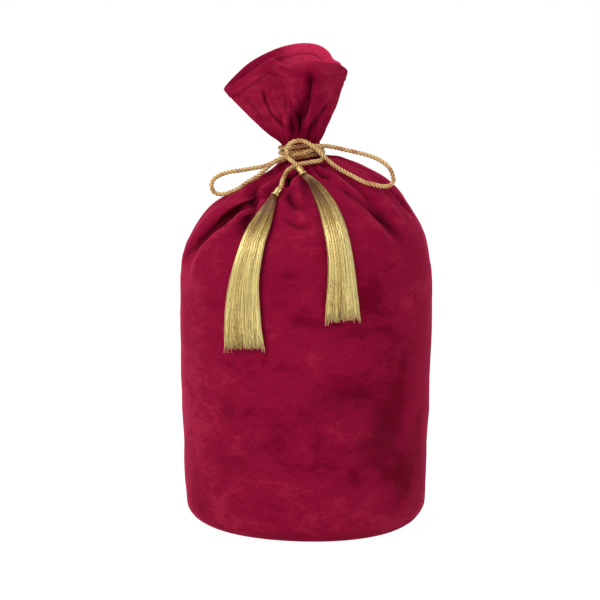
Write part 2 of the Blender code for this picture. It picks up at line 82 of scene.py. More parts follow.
LEFT_CAP_FOOT = (-26.0, -64.0, -39.2)

# The tassels seen from the front, from the cap down: across, up, width and fullness
RIGHT_SKIRT = (
    (9.5, -26.5, 8.5, 0.60), (16.0, -34.8, 13.0, 0.72), (24.0, -47.5, 17.5, 0.86),
    (30.1, -63.0, 21.0, 1.00), (34.1, -79.0, 22.5, 1.00), (36.7, -98.0, 24.5, 1.00),
    (37.7, -118.0, 28.0, 0.95), (38.1, -136.0, 31.5, 0.88), (38.7, -151.5, 34.0, 0.80),
)
LEFT_SKIRT = (
    (-29.4, -47.0, 9.6, 0.62), (-33.1, -54.0, 13.6, 0.76), (-36.5, -60.5, 17.0, 0.86),
    (-43.5, -74.5, 21.0, 1.00), (-48.5, -90.5, 24.0, 1.00), (-52.5, -108.0, 27.0, 1.00),
    (-54.9, -127.0, 31.0, 0.95), (-55.7, -146.0, 34.5, 0.90), (-55.5, -164.0, 37.0, 0.85),
    (-54.1, -179.5, 39.5, 0.80),
)

# The ruff's hem, anticlockwise from its right tip
HEM = (
    (46.5, -4.0, 78.0), (40.5, 4.0, 81.0), (39.5, 11.0, 85.0), (32.5, 19.0, 88.0),
    (27.5, 27.0, 96.0), (16.5, 34.0, 102.0), (-1.5, 38.0, 103.0), (-21.5, 36.0, 99.0),
    (-41.5, 30.0, 91.0), (-56.5, 21.0, 82.0), (-67.5, 11.0, 71.0), (-75.5, 0.0, 60.0),
    (-67.5, -13.0, 65.0), (-53.5, -21.0, 75.0), (-40.5, -23.0, 84.0), (-30.5, -19.0, 90.0),
    (-23.5, -20.0, 86.0), (-15.5, -31.0, 83.0), (-3.5, -38.0, 85.0), (11.5, -39.0, 87.0),
    (25.5, -33.0, 86.0), (34.5, -23.0, 85.0), (41.5, -14.0, 82.0),
)


class Side(Enum):
    """The two ends of the cord, as seen from the front."""

    LEFT = "left"
    RIGHT = "right"


class FoldKind(Enum):
    """Whether a fold line is pressed into the cloth or stands out of it."""

    VALLEY = 1.0
    RIDGE = -1.0


@dataclass(frozen=True)
class Fold:
    """One fold line of the cloth.

    Args:
        line: azimuth in degrees and height in millimetres of each point it passes.
        depth: how far it moves the cloth, in millimetres.
        width: half width at the middle of the line, in millimetres.
        kind: valley or ridge.
    """

    line: tuple[tuple[float, float], ...]
    depth: float
    width: float
    kind: FoldKind = FoldKind.VALLEY


@dataclass(frozen=True)
class Stroke:
    """A place where the velvet is made lighter or darker: brushed pile, or painted light and shade.

    Args:
        line: azimuth in degrees and height in millimetres of its points.
        width: how far it reaches to each side, in millimetres.
        lift: above zero where the cloth is made lighter, below zero where it is made darker.
    """

    line: tuple[tuple[float, float], ...]
    width: float
    lift: float


@dataclass(frozen=True)
class Pull:
    """A place where the cloth is drawn a little way, with what lies round it.

    Args:
        place: where, in millimetres from the neck's middle.
        shift: how far, in millimetres.
        reach: how far round it the cloth follows, in millimetres.
    """

    place: tuple[float, float, float]
    shift: tuple[float, float, float]
    reach: float


def from_neck(point: tuple[float, float, float]) -> Vector:
    """Turn a place of the tables into metres.

    Args:
        point: the place, in millimetres from the neck's middle.

    Returns:
        The place in metres.
    """
    return (Vector(NECK_MIDDLE) + Vector(point)) * MM


def curve_point(near: list, t: float) -> np.ndarray | Vector:
    """Point of a smooth curve between the middle two of four neighbours.

    Args:
        near: the four neighbours.
        t: from 0 at the second one to 1 at the third one.

    Returns:
        The point.
    """
    return 0.5 * (
        2 * near[1] + (near[2] - near[0]) * t
        + (2 * near[0] - 5 * near[1] + 4 * near[2] - near[3]) * t**2
        + (3 * near[1] - near[0] - 3 * near[2] + near[3]) * t**3
    )


def smooth_line(points: tuple, spacing: float, closed: bool = False) -> np.ndarray:
    """Evenly spaced points of a smooth line through the given ones.

    Args:
        points: points that the line passes, in millimetres from the neck's middle.
        spacing: distance between the points that come back, in metres.
        closed: whether the line returns to its start.

    Returns:
        Points in metres, one row each.
    """
    rows = np.array([from_neck(point) for point in points])
    fine = 24
    dense = []
    count = len(rows) if closed else len(rows) - 1
    padded = np.vstack([2 * rows[0] - rows[1], rows, 2 * rows[-1] - rows[-2]])
    for i in range(count):
        near = [rows[(i + k) % len(rows)] for k in (-1, 0, 1, 2)] if closed else padded[i : i + 4]
        for k in range(fine):
            dense.append(curve_point(near, k / fine))
    dense.append(rows[0] if closed else rows[-1])
    dense = np.array(dense)
    walked = np.concatenate([[0], np.cumsum(np.linalg.norm(np.diff(dense, axis=0), axis=1))])
    steps = max(2, round(walked[-1] / spacing))
    wanted = np.linspace(0, walked[-1], steps + 1)
    return np.stack([np.interp(wanted, walked, dense[:, axis]) for axis in range(3)], axis=1)


def distance_to_line(points: np.ndarray, line: np.ndarray) -> tuple[np.ndarray, np.ndarray]:
    """Distance of points from a line, and how far along it the nearest place is.

    Args:
        points: one point a row.
        line: points that the line joins.

    Returns:
        Distances, and shares of the line's length from 0 to 1.
    """
    best = np.full(len(points), np.inf)
    along = np.zeros(len(points))
    lengths = np.linalg.norm(np.diff(line, axis=0), axis=1)
    total = lengths.sum()
    start = 0.0
    for a, b, length in zip(line, line[1:], lengths):
        if length < 1e-9:
            continue
        share = np.clip((points - a) @ (b - a) / length**2, 0, 1)
        away = np.linalg.norm(points - a - share[:, None] * (b - a), axis=1)
        nearer = away < best
        best = np.where(nearer, away, best)
        along = np.where(nearer, (start + share * length) / total, along)
        start += length
    return best, along


def smoothstep(low: float, high: float, value: np.ndarray) -> np.ndarray:
    """Share from 0 at low to 1 at high, with soft ends.

    Args:
        low: the value that gives 0.
        high: the value that gives 1.
        value: the values.

    Returns:
        One share for each value.
    """
    t = np.clip((value - low) / (high - low), 0, 1)
    return t * t * (3 - 2 * t)


class Shade:
    """The node tree of one finish, with one method that makes its nodes."""

    def __init__(self, name: str, world: bpy.types.World | None = None) -> None:
        """Start an empty material, or empty a world.

        Args:
            name: the material's name.
            world: the world whose nodes are made instead.
        """
        self.material = world or bpy.data.materials.new(name)
        self.material.use_nodes = True
        self.tree = self.material.node_tree
        self.tree.nodes.clear()

    def node(self, kind: str, settings: dict | None = None, **inputs: object) -> bpy.types.Node:
        """Make one node.

        Args:
            kind: the node's type.
            settings: its properties, set first; "stops" holds a ramp's positions and colours.
            inputs: values or links of its sockets, by name or as _0, _1 for a place.

        Returns:
            The node.
        """
        made = self.tree.nodes.new(kind)
        for name, value in (settings or {}).items():
            if name == "stops":
                ramp = made.color_ramp
                while len(ramp.elements) < len(value):
                    ramp.elements.new(0.5)
                for element, (place, colour) in zip(ramp.elements, value):
                    element.position = place
                    element.color = (*colour, 1.0)
            else:
                setattr(made, name, value)
        for name, value in inputs.items():
            key = int(name[1:]) if name[0] == "_" and name[1:].isdigit() else name.replace("_", " ")
            self.feed(made.inputs[key], value)
        return made

    def feed(self, socket: bpy.types.NodeSocket, value: object) -> None:
        """Link or set one socket.

        Args:
            socket: the socket that is fed.
            value: a Socket, a node's output, a number or a tuple.
        """
        if isinstance(value, Socket):
            self.tree.links.new(value.output, socket)
        elif isinstance(value, bpy.types.NodeSocket):
            self.tree.links.new(value, socket)
        elif isinstance(value, tuple) and len(value) == 3 and socket.type == "RGBA":
            socket.default_value = (*value, 1.0)
        else:
            socket.default_value = value

    def value(self, kind: str, output: str, settings: dict | None = None, **inputs: object) -> "Socket":
        """Make one node and take one of its outputs.

        Args:
            kind: the node's type.
            output: name of the output.
            settings: the node's properties.
            inputs: values or links of its sockets.

        Returns:
            The output, as a value for expressions.
        """
        return Socket(self, self.node(kind, settings, **inputs).outputs[output])

    def mix(self, share: object, first: object, second: object, blend: str = "MIX") -> "Socket":
        """Mix two colours.

        Args:
            share: how much of the second colour.
            first: a colour or a link.
            second: a colour or a link.
            blend: the way they are mixed.

        Returns:
            The mixed colour.
        """
        made = self.node("ShaderNodeMix", {"data_type": "RGBA", "blend_type": blend, "clamp_factor": True},
                         _0=share, _6=first, _7=second)
        return Socket(self, made.outputs[2])

    def finish(self, surface: bpy.types.NodeSocket) -> bpy.types.Material:
        """Link the surface to the output.

        Args:
            surface: the finished shader.

        Returns:
            The material.
        """
        self.node("ShaderNodeOutputMaterial", None, Surface=surface)
        return self.material


class Socket:
    """A shader value that takes Python's arithmetic."""

    def __init__(self, shade: Shade, output: bpy.types.NodeSocket) -> None:
        """Wrap an output.

        Args:
            shade: the node tree it is in.
            output: the output.
        """
        self.shade = shade
        self.output = output

    def maths(self, operation: str, first: object, second: object = 0.0) -> "Socket":
        """Add one Math node.

        Args:
            operation: what it does.
            first: its first value or link.
            second: its second value or link.

        Returns:
            The result.
        """
        return self.shade.value("ShaderNodeMath", "Value", {"operation": operation}, _0=first, _1=second)

    def __add__(self, other: object) -> "Socket":
        """Sum."""
        return self.maths("ADD", self, other)

    def __radd__(self, other: object) -> "Socket":
        """Sum, reflected."""
        return self.maths("ADD", other, self)

    def __sub__(self, other: object) -> "Socket":
        """Difference."""
        return self.maths("SUBTRACT", self, other)

    def __rsub__(self, other: object) -> "Socket":
        """Difference, reflected."""
        return self.maths("SUBTRACT", other, self)

    def __mul__(self, other: object) -> "Socket":
        """Product."""
        return self.maths("MULTIPLY", self, other)

    def wave(self) -> "Socket":
        """Turn the value, an angle, into a wave.

        Returns:
            A sine wave between 0 and 1.
        """
        return self.maths("SINE", self) * 0.5 + 0.5

    def between(self, low: float, high: float) -> "Socket":
        """Turn the value into a share with soft ends.

        Args:
            low: the value that gives 0.
            high: the value that gives 1.

        Returns:
            The share, kept between 0 and 1.
        """
        return self.shade.value(
            "ShaderNodeMapRange", "Result", {"interpolation_type": "SMOOTHSTEP"},
            Value=self, From_Min=low, From_Max=high,
        )


@dataclass(frozen=True)
class VelvetFinish:
    """Deep red velvet with a pile that is brushed in patches, and with light and shade painted into its
    colour.

    Args:
        deep: colour where the pile lies away from the eye, and of the painted shade over the darker side
            and along folds.
        plain: the cloth's own colour.
        lifted: colour where the pile stands up, and of the painted light on the lit left side and on
            crests.
        painted_light: colour of the painted light on the lit inside of the ruff's back wall, on the left
            edge and on crests.
        shade: colour of the painted shade down in folds, in dips of the cloth and along the stitch line.
        sheen: weight of the soft shine at the edges.
    """

    deep: tuple[float, float, float] = (0.140, 0.0002, 0.0135)
    plain: tuple[float, float, float] = (0.252, 0.0040, 0.0325)
    lifted: tuple[float, float, float] = (0.350, 0.0120, 0.0460)
    painted_light: tuple[float, float, float] = (0.560, 0.0240, 0.0850)
    shade: tuple[float, float, float] = (0.040, 0.0004, 0.0040)
    sheen: float = 0.62

    def dye(self) -> bpy.types.Material:
        """Make the material.

        Returns:
            The velvet.
        """
        shade = Shade("velvet")
        place = shade.value("ShaderNodeTexCoord", "Object")
        brushed = shade.value("ShaderNodeMapping", "Vector", None, Vector=place, Scale=(1.0, 1.0, 1.9))
        patches = shade.value("ShaderNodeTexNoise", "Fac", None, Vector=brushed, Scale=13.0,
                              Detail=6.0, Roughness=0.62, Distortion=0.9)
        strokes = shade.value("ShaderNodeTexNoise", "Fac", None, Vector=brushed, Scale=58.0,
                              Detail=5.0, Roughness=0.72, Distortion=0.8)
        pile = shade.value("ShaderNodeTexNoise", "Fac", None, Vector=place, Scale=1500.0, Detail=2.0)
        flecks = shade.value("ShaderNodeTexNoise", "Fac", None, Vector=place, Scale=420.0, Detail=3.0)
        hollow = shade.value("ShaderNodeAttribute", "Fac", {"attribute_name": "hollow"})
        nap = shade.value("ShaderNodeAttribute", "Fac", {"attribute_name": "nap"})
        # The vertex tone read here holds brushed pile together with painted light and painted shade; the
        # noise adds more pile patches.
        pile_and_light_tone = nap * (strokes * 1.2 + 0.05) + (patches - 0.5) * 2.0 + (strokes - 0.5) * 2.3
        lifted = pile_and_light_tone.between(0.05, 0.75)
        pile_down_and_shade = pile_and_light_tone.between(-0.05, -0.85)
        colour = shade.mix(lifted * 0.80, self.plain, self.lifted)
        # Painted light where the vertex tone is highest: the lit inside of the ruff's back wall, the left
        # edge and crests.
        colour = shade.mix(nap.between(0.9, 2.0), colour, self.painted_light)
        colour = shade.mix(pile_down_and_shade * 0.88, colour, self.deep)
        # Painted shade down folds, in dips of the cloth and along the stitch line.
        colour = shade.mix(hollow * 0.84, colour, self.shade)
        colour = shade.mix(flecks.between(0.42, 0.62) * 0.20, colour, self.deep)
        relief = pile * 0.35 + flecks * 0.5 + strokes * 0.9
        bump = shade.node("ShaderNodeBump", None, Strength=0.35, Distance=0.0006, Height=relief)
        surface = shade.node(
            "ShaderNodeBsdfPrincipled", None, Base_Color=colour, Roughness=0.80 - lifted * 0.12,
            Sheen_Weight=self.sheen, Sheen_Roughness=0.34, Sheen_Tint=(1.00, 0.06, 0.20),
            Specular_IOR_Level=0.03, Normal=bump.outputs["Normal"],
        )
        return shade.finish(surface.outputs["BSDF"])


@dataclass(frozen=True)
class GoldCordFinish:
    """Twisted yarn of gold thread, with painted shade, dark and warm, where the strands turn under and on
    the turns round the neck.

    Args:
        pale: colour of the yarn's tops.
        painted_shade_and_tone: colour of the painted shade between the yarns and on the turns round the
            neck, and of darker clouds in the yarn.
        yarns: how many yarns show on the whole round of the cord.
    """

    pale: tuple[float, float, float] = (0.980, 0.730, 0.300)
    painted_shade_and_tone: tuple[float, float, float] = (0.520, 0.170, 0.060)
    yarns: int = 24

    def dye(self) -> bpy.types.Material:
        """Make the material.

        Returns:
            The gold yarn.
        """
        shade = Shade("gold_cord")
        uv = shade.node("ShaderNodeUVMap", {"uv_map": "UVMap"})
        parts = shade.node("ShaderNodeSeparateXYZ", None, Vector=uv.outputs["UV"])
        around = Socket(shade, parts.outputs["X"])
        along = Socket(shade, parts.outputs["Y"])
        place = shade.value("ShaderNodeTexCoord", "Object")
        clouds = shade.value("ShaderNodeTexNoise", "Fac", None, Vector=place, Scale=95.0, Detail=3.0)
        grain = shade.value("ShaderNodeTexNoise", "Fac", None, Vector=place, Scale=1400.0, Detail=2.0)
        yarn = ((around * self.yarns - along * 3.0) * math.tau).wave()
        groove = shade.value("ShaderNodeAttribute", "Fac", {"attribute_name": "groove"})
        # Painted shade between the strands and the yarns and on the turns round the neck, mixed with darker
        # clouds of the yarn's own tone.
        painted_shade_and_tone = (groove * 0.95 + (1.0 - yarn) * 0.25 + clouds.between(0.46, 0.68) * 0.50).between(0.20, 1.1)
        colour = shade.mix(painted_shade_and_tone, self.pale, self.painted_shade_and_tone)
        colour = shade.mix(grain.between(0.55, 0.75) * 0.35, colour, (0.95, 0.80, 0.52))
        bump = shade.node("ShaderNodeBump", None, Strength=0.8, Distance=0.00025,
                          Height=yarn * 0.8 + grain * 0.35)
        surface = shade.node(
            "ShaderNodeBsdfPrincipled", None, Base_Color=colour, Metallic=0.20,
            Roughness=0.42 + painted_shade_and_tone * 0.16, Normal=bump.outputs["Normal"],
        )
        return shade.finish(surface.outputs["BSDF"])


@dataclass(frozen=True)
class GoldMetalFinish:
    """Thin polished brass sheet, a little worn.

    Args:
        colour: the metal's colour.
    """

    colour: tuple[float, float, float] = (0.830, 0.590, 0.250)

    def dye(self) -> bpy.types.Material:
        """Make the material.

        Returns:
            The brass.
        """
        shade = Shade("gold_metal")
        place = shade.value("ShaderNodeTexCoord", "Object")
        worn = shade.value("ShaderNodeTexNoise", "Fac", None, Vector=place, Scale=420.0, Detail=4.0)
        fine = shade.value("ShaderNodeTexNoise", "Fac", None, Vector=place, Scale=2600.0, Detail=2.0)
        colour = shade.mix(worn.between(0.48, 0.72) * 0.5, self.colour, (0.52, 0.30, 0.10))
        bump = shade.node("ShaderNodeBump", None, Strength=0.25, Distance=0.0001, Height=worn + fine * 0.4)
        surface = shade.node(
            "ShaderNodeBsdfPrincipled", None, Base_Color=colour, Metallic=1.0,
            Roughness=0.22 + worn * 0.20, Normal=bump.outputs["Normal"],
        )
        return shade.finish(surface.outputs["BSDF"])


@dataclass(frozen=True)
class GoldThreadFinish:
    """Fine metallic threads of a tassel, each with its own tone.

    Args:
        pale: the lightest threads.
        olive: the plain threads.
        brown: threads in the shade of the others.
    """

    pale: tuple[float, float, float] = (0.970, 0.820, 0.340)
    olive: tuple[float, float, float] = (0.560, 0.380, 0.110)
    brown: tuple[float, float, float] = (0.150, 0.050, 0.018)

    def dye(self) -> bpy.types.Material:
        """Make the material.

        Returns:
            The gold threads.
        """
        shade = Shade("gold_thread")
        tone = shade.value("ShaderNodeAttribute", "Fac", {"attribute_name": "tone"})
        place = shade.value("ShaderNodeTexCoord", "Object")
        clouds = shade.value("ShaderNodeTexNoise", "Fac", None, Vector=place, Scale=60.0, Detail=3.0)
        glints = shade.value("ShaderNodeTexNoise", "Fac", None, Vector=place, Scale=700.0, Detail=2.0)
        light = (tone * 0.95 + (clouds - 0.5) * 0.30 + (glints - 0.5) * 0.55)
        colour = shade.mix(light.between(0.05, 0.45), self.brown, self.olive)
        colour = shade.mix(light.between(0.45, 0.90), colour, self.pale)
        surface = shade.node("ShaderNodeBsdfPrincipled", None, Base_Color=colour, Metallic=0.40,
                             Roughness=0.28 + clouds * 0.14)
        return shade.finish(surface.outputs["BSDF"])


@dataclass(frozen=True)
class FloorFinish:
    """Pale studio floor that is white to the camera and keeps a soft shadow.

    Args:
        colour: the floor's colour.
        lifted: share of plain white that the camera sees.
    """

    colour: tuple[float, float, float] = (0.93, 0.93, 0.93)
    lifted: float = 0.93

    def dye(self) -> bpy.types.Material:
        """Make the material.

        Returns:
            The floor.
        """
        shade = Shade("pale_floor")
        rays = shade.node("ShaderNodeLightPath")
        seen = (Socket(shade, rays.outputs["Is Camera Ray"]) + rays.outputs["Is Glossy Ray"]
                + rays.outputs["Is Transmission Ray"])
        matt = shade.node("ShaderNodeBsdfPrincipled", None, Base_Color=self.colour, Roughness=0.9)
        white = shade.node("ShaderNodeEmission", None, Color=(1.0, 1.0, 1.0), Strength=1.04)
        surface = shade.node("ShaderNodeMixShader", None, _0=seen.between(0.0, 1.0) * self.lifted,
                             _1=matt.outputs["BSDF"], _2=white.outputs["Emission"])
        return shade.finish(surface.outputs["Shader"])


@dataclass
class Studio:
    """Camera, lamps, world and floor.

    Args:
        eye: where the camera stands.
        pitch_deg: how far it looks down.
        lens: its focal length in millimetres.
        floor_size: side of the square floor.
        daylight: strength of the light from all round.
    """

    eye: tuple[float, float, float] = (-0.006, -1.7, 0.5)
    pitch_deg: float = 9.287
    lens: float = 103.2
    floor_size: float = 6.0
    daylight: float = 0.45

    def set_up(self) -> None:
        """Place everything that isn't part of the sack."""
        self.place_camera()
        self.light_world()
        self.hang_lamp("key", (-1.5, -1.5, 1.7), size=1.5, power=34.0)
        self.hang_lamp("fill", (1.7, -1.3, 0.6), size=1.4, power=10.0)
        self.hang_lamp("top", (-0.2, 0.5, 1.9), size=1.3, power=12.0)
        self.lay_floor()
        bpy.context.scene.view_settings.view_transform = "Standard"

    def place_camera(self) -> None:
        """Put the camera at the photograph's angle."""
        data = bpy.data.cameras.new("camera")
        data.lens = self.lens
        data.sensor_width = 36.0
        camera = bpy.data.objects.new("camera", data)
        camera.location = self.eye
        camera.rotation_euler = (math.radians(90.0 - self.pitch_deg), 0.0, 0.0)
        bpy.context.scene.collection.objects.link(camera)
        bpy.context.scene.camera = camera

    def light_world(self) -> None:
        """Give the world a soft grey light, white to the camera."""
        world = bpy.data.worlds.new("studio")
        bpy.context.scene.world = world
        shade = Shade("studio", world)
        rays = shade.node("ShaderNodeLightPath")
        soft = shade.node("ShaderNodeBackground", None, Color=(1.0, 1.0, 1.0), Strength=self.daylight)
        white = shade.node("ShaderNodeBackground", None, Color=(1.0, 1.0, 1.0))
        mix = shade.node("ShaderNodeMixShader", None, _0=rays.outputs["Is Camera Ray"],
                         _1=soft.outputs[0], _2=white.outputs[0])
        shade.node("ShaderNodeOutputWorld", None, Surface=mix.outputs[0])

    def hang_lamp(self, name: str, place: tuple, size: float, power: float) -> None:
        """Hang one soft lamp that faces the sack.

        Args:
            name: the lamp's name.
            place: where it hangs.
            size: its width in metres.
            power: its power in watts.
        """
        data = bpy.data.lights.new(name, "AREA")
        data.shape = "DISK"
        data.size = size
        data.energy = power
        lamp = bpy.data.objects.new(name, data)
        lamp.location = place
        toward = Vector((0.0, 0.0, 0.25)) - Vector(place)
        lamp.rotation_euler = toward.to_track_quat("-Z", "Y").to_euler()
        bpy.context.scene.collection.objects.link(lamp)

    def lay_floor(self) -> None:
        """Lay the pale floor."""
        bm = bmesh.new()
        bmesh.ops.create_grid(bm, x_segments=1, y_segments=1, size=self.floor_size / 2)
        floor = to_object("floor", bm, FloorFinish().dye())
        floor.location.z = -0.0002


def to_object(name: str, bm: bmesh.types.BMesh, material: bpy.types.Material,
              smooth: bool = True) -> bpy.types.Object:
    """Put a bmesh in the scene as an object at the origin.

    Args:
        name: the object's name.
        bm: its mesh, which is freed.
        material: its material.
        smooth: whether its faces are shaded smooth.

    Returns:
        The object.
    """
    mesh = bpy.data.meshes.new(name)
    bm.to_mesh(mesh)
    bm.free()
    if smooth:
        mesh.shade_smooth()
    mesh.materials.append(material)
    made = bpy.data.objects.new(name, mesh)
    bpy.context.scene.collection.objects.link(made)
    return made


def lay_tube(bm: bmesh.types.BMesh, line: np.ndarray, section: np.ndarray,
             sizes: np.ndarray, twists: np.ndarray) -> list[bmesh.types.BMVert]:
    """Bend a grid into a closed tube along a line.

    Args:
        bm: the mesh it is added to.
        line: the middle of each ring.
        section: outline of one ring, as angle and reach rows.
        sizes: scale of each ring.
        twists: turn of each ring in radians.

    Returns:
        The tube's vertices.
    """
    rings, sides = len(line), len(section)
    made = bmesh.ops.create_grid(bm, x_segments=sides, y_segments=rings - 1, size=0.5, calc_uvs=True)
    verts = sorted(made["verts"], key=lambda v: (round(v.co.y * (rings - 1)), v.co.x))
    tangents = np.gradient(line, axis=0)
    tangent = Vector(tangents[0]).normalized()
    side = tangent.orthogonal().normalized()
    for row in range(rings):
        ahead = Vector(tangents[row]).normalized()
        side = (tangent.rotation_difference(ahead) @ side).normalized()
        side = (side - ahead * side.dot(ahead)).normalized()
        up = ahead.cross(side)
        tangent = ahead
        middle = Vector(line[row])
        for column in range(sides + 1):
            angle, reach = section[column % sides]
            turn = angle + twists[row]
            out = side * math.cos(turn) + up * math.sin(turn)
            verts[row * (sides + 1) + column].co = middle + out * reach * sizes[row]
    return verts


def close_tube(bm: bmesh.types.BMesh, gap: float = 1e-7) -> None:
    """Join the seams of tubes, fill their ends and turn their faces outwards.

    Args:
        bm: the mesh.
        gap: distance under which two vertices are one.
    """
    bmesh.ops.remove_doubles(bm, verts=bm.verts[:], dist=gap)
    rims = [edge for edge in bm.edges if edge.is_boundary]
    bmesh.ops.holes_fill(bm, edges=rims, sides=0)
    bmesh.ops.recalc_face_normals(bm, faces=bm.faces[:])


@dataclass
class GoldCord:
    """The cord: three twisted strands from one tassel, through the bow and round the neck.

    Args:
        diameter: its diameter, in metres.
        lay_length: distance in which a strand goes once round, in metres.
        turn_radius: radius of the turns at the cord's middle, in millimetres.
        turn_rise: height that all the turns cover at the cord's middle, in millimetres.
        first_azimuth: where the turns begin, in degrees.
        last_azimuth: where they end, in degrees.
        turn_steps: how many straight steps the turns are worked out in.
        ring_spacing: distance between the cord's rings, in metres.
        sides_per_strand: faces round one strand.
        strand_share: radius of a strand, as a share of the diameter.
        reach_share: reach of a strand's top, as a share of the diameter.
        wound_shade: how much darker the turns round the neck are.
        length: length of the laid cord in metres, known once it is twisted.
        line: its middle line, known once it is twisted.
    """

    diameter: float = 0.0050
    lay_length: float = 0.0112
    turn_radius: float = 21.0
    turn_rise: float = 10.6
    first_azimuth: float = -78.0
    last_azimuth: float = -846.0
    turn_steps: int = 52
    ring_spacing: float = 0.0007
    sides_per_strand: int = 8
    strand_share: float = 0.235
    reach_share: float = 0.450
    wound_shade: float = 0.40
    length: float = 0.0
    line: np.ndarray | None = None

    def route(self) -> np.ndarray:
        """Lay the middle line of the whole cord, from the right tassel to the left one.

        Returns:
            Its points, in metres.
        """
        tilt = Matrix.Rotation(-math.radians(NECK_TILT_DEG), 3, "Y")
        points = list(reversed(RIGHT_END))
        for k in range(self.turn_steps + 1):
            share = k / self.turn_steps
            azimuth = math.radians(self.first_azimuth + (self.last_azimuth - self.first_azimuth) * share)
            across = Vector((math.cos(azimuth), math.sin(azimuth), 0.0)) * self.turn_radius
            across.z = self.turn_rise * (0.5 - share)
            points.append(tuple(tilt @ across))
        points += list(LEFT_END)
        return smooth_line(tuple(points), self.ring_spacing)

    def section(self) -> np.ndarray:
        """Outline of three strands that lie side by side.

        Returns:
            Angle and reach of each point, one row each.
        """
        strand = self.diameter * self.strand_share
        offset = self.diameter * self.reach_share - strand
        rows = []
        count = 3 * self.sides_per_strand
        for k in range(count):
            angle = math.tau * k / count
            off = (angle + math.pi / 3) % (math.tau / 3) - math.pi / 3
            reach = offset * math.cos(off) + math.sqrt(strand**2 - (offset * math.sin(off)) ** 2)
            rows.append((angle, reach))
        return np.array(rows)

    def is_wound(self, spot: np.ndarray) -> bool:
        """Whether a place of the route lies in the turns round the neck.

        Args:
            spot: the place, in metres.

        Returns:
            True for the turns.
        """
        away = Vector(spot) - from_neck((0.0, 0.0, 0.0))
        return math.hypot(away.x, away.y) < (self.turn_radius + 1.5) * MM

    def twist(self, finish: bpy.types.Material) -> bpy.types.Object:
        """Build the cord.

        Args:
            finish: its material.

        Returns:
            The cord.
        """
        line = self.route()
        section = self.section()
        rings = len(line)
        turns = np.arange(rings) * self.ring_spacing / self.lay_length * math.tau
        bm = bmesh.new()
        groove = bm.verts.layers.float.new("groove")
        uv = bm.loops.layers.uv.new("UVMap")
        verts = lay_tube(bm, line, section, np.ones(rings), turns)
        deepest, highest = section[:, 1].min(), section[:, 1].max()
        columns = len(section) + 1
        # Painted shade: darker down between the strands, and darker again on the turns round the neck.
        for index, vert in enumerate(verts):
            reach = section[(index % columns) % len(section), 1]
            wound = self.wound_shade if self.is_wound(line[index // columns]) else 0.0
            vert[groove] = (highest - reach) / (highest - deepest) + wound
        for face in bm.faces:
            for loop in face.loops:
                loop[uv].uv.y *= rings * self.ring_spacing / self.lay_length
        close_tube(bm)
        cord = to_object("gold_cord", bm, finish)
        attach(cord, BODY)
        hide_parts("cord_winding", "cord_bow_left", "cord_bow_right")
        self.length = float(np.linalg.norm(np.diff(line, axis=0), axis=1).sum())
        self.line = line
        LOG.info("cord: %d rings, %.3f m", rings, self.length)
        return cord


@dataclass
class TasselCap:
    """The pressed metal cap that grips the cord's end and the tassel's threads.

    Args:
        side: which tassel it belongs to.
        length: its length.
        radius: radius of its sleeve.
        rim_radius: radius of the bead at its lower end.
        gap: distance between the cord's end and the cap's top.
        steps: faces round it.
    """

    side: Side
    length: float = 0.0110
    radius: float = 0.0032
    rim_radius: float = 0.0040
    gap: float = 0.0003
    steps: int = 48

    def axis(self) -> tuple[Vector, Vector]:
        """Find where the cap sits.

        Returns:
            Its top, and the direction in which it points.
        """
        route, foot = (LEFT_END, LEFT_CAP_FOOT) if self.side is Side.LEFT else (RIGHT_END, RIGHT_CAP_FOOT)
        end = from_neck(route[-1])
        direction = (from_neck(foot) - end).normalized()
        return end + direction * self.gap, direction

    def profile(self) -> list[tuple[float, float]]:
        """Outline of the cap, from its top to the middle of its underside.

        Returns:
            Reach and depth of each point.
        """
        rows = [(0.0, 0.0), (self.radius * 0.82, 0.0), (self.radius * 0.96, self.radius * 0.10),
                (self.radius, self.radius * 0.32)]
        for start in (0.0018, 0.0034):
            for share, rise in ((0.0, 0.0), (0.2, 0.75), (0.5, 1.0), (0.8, 0.75), (1.0, 0.0)):
                rows.append((self.radius + rise * 0.00030, start + share * 0.0012))
        rows.append((self.radius * 0.985, 0.0062))
        rim = 0.0012
        rows.append((self.radius, self.length - 2 * rim - 0.0002))
        for k in range(9):
            bend = math.pi * k / 8
            reach = self.radius + (self.rim_radius - self.radius) * math.sin(bend)
            rows.append((reach, self.length - rim - rim * math.cos(bend)))
        rows += [(self.radius * 0.93, self.length), (self.radius * 0.90, self.length - 0.0006),
                 (0.0, self.length - 0.0006)]
        return rows

    def turn(self, finish: bpy.types.Material) -> bpy.types.Object:
        """Build the cap.

        Args:
            finish: its material.

        Returns:
            The cap.
        """
        bm = bmesh.new()
        verts = [bm.verts.new((reach, 0.0, -depth)) for reach, depth in self.profile()]
        edges = [bm.edges.new(pair) for pair in zip(verts, verts[1:])]
        bmesh.ops.spin(bm, geom=verts + edges, cent=(0, 0, 0), axis=(0, 0, 1), angle=math.tau,
                       steps=self.steps, use_merge=True)
        bmesh.ops.remove_doubles(bm, verts=bm.verts[:], dist=1e-6)
        top, direction = self.axis()
        turn = direction.to_track_quat("-Z", "Y").to_matrix().to_4x4()
        bmesh.ops.transform(bm, matrix=Matrix.Translation(top) @ turn, verts=bm.verts[:])
        bmesh.ops.recalc_face_normals(bm, faces=bm.faces[:])
        cap = to_object(f"cap_{self.side.value}", bm, finish)
        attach(cap, BODY)
        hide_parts(f"tassel_cap_{self.side.value}")
        LOG.info("cap %s built", self.side.value)
        return cap


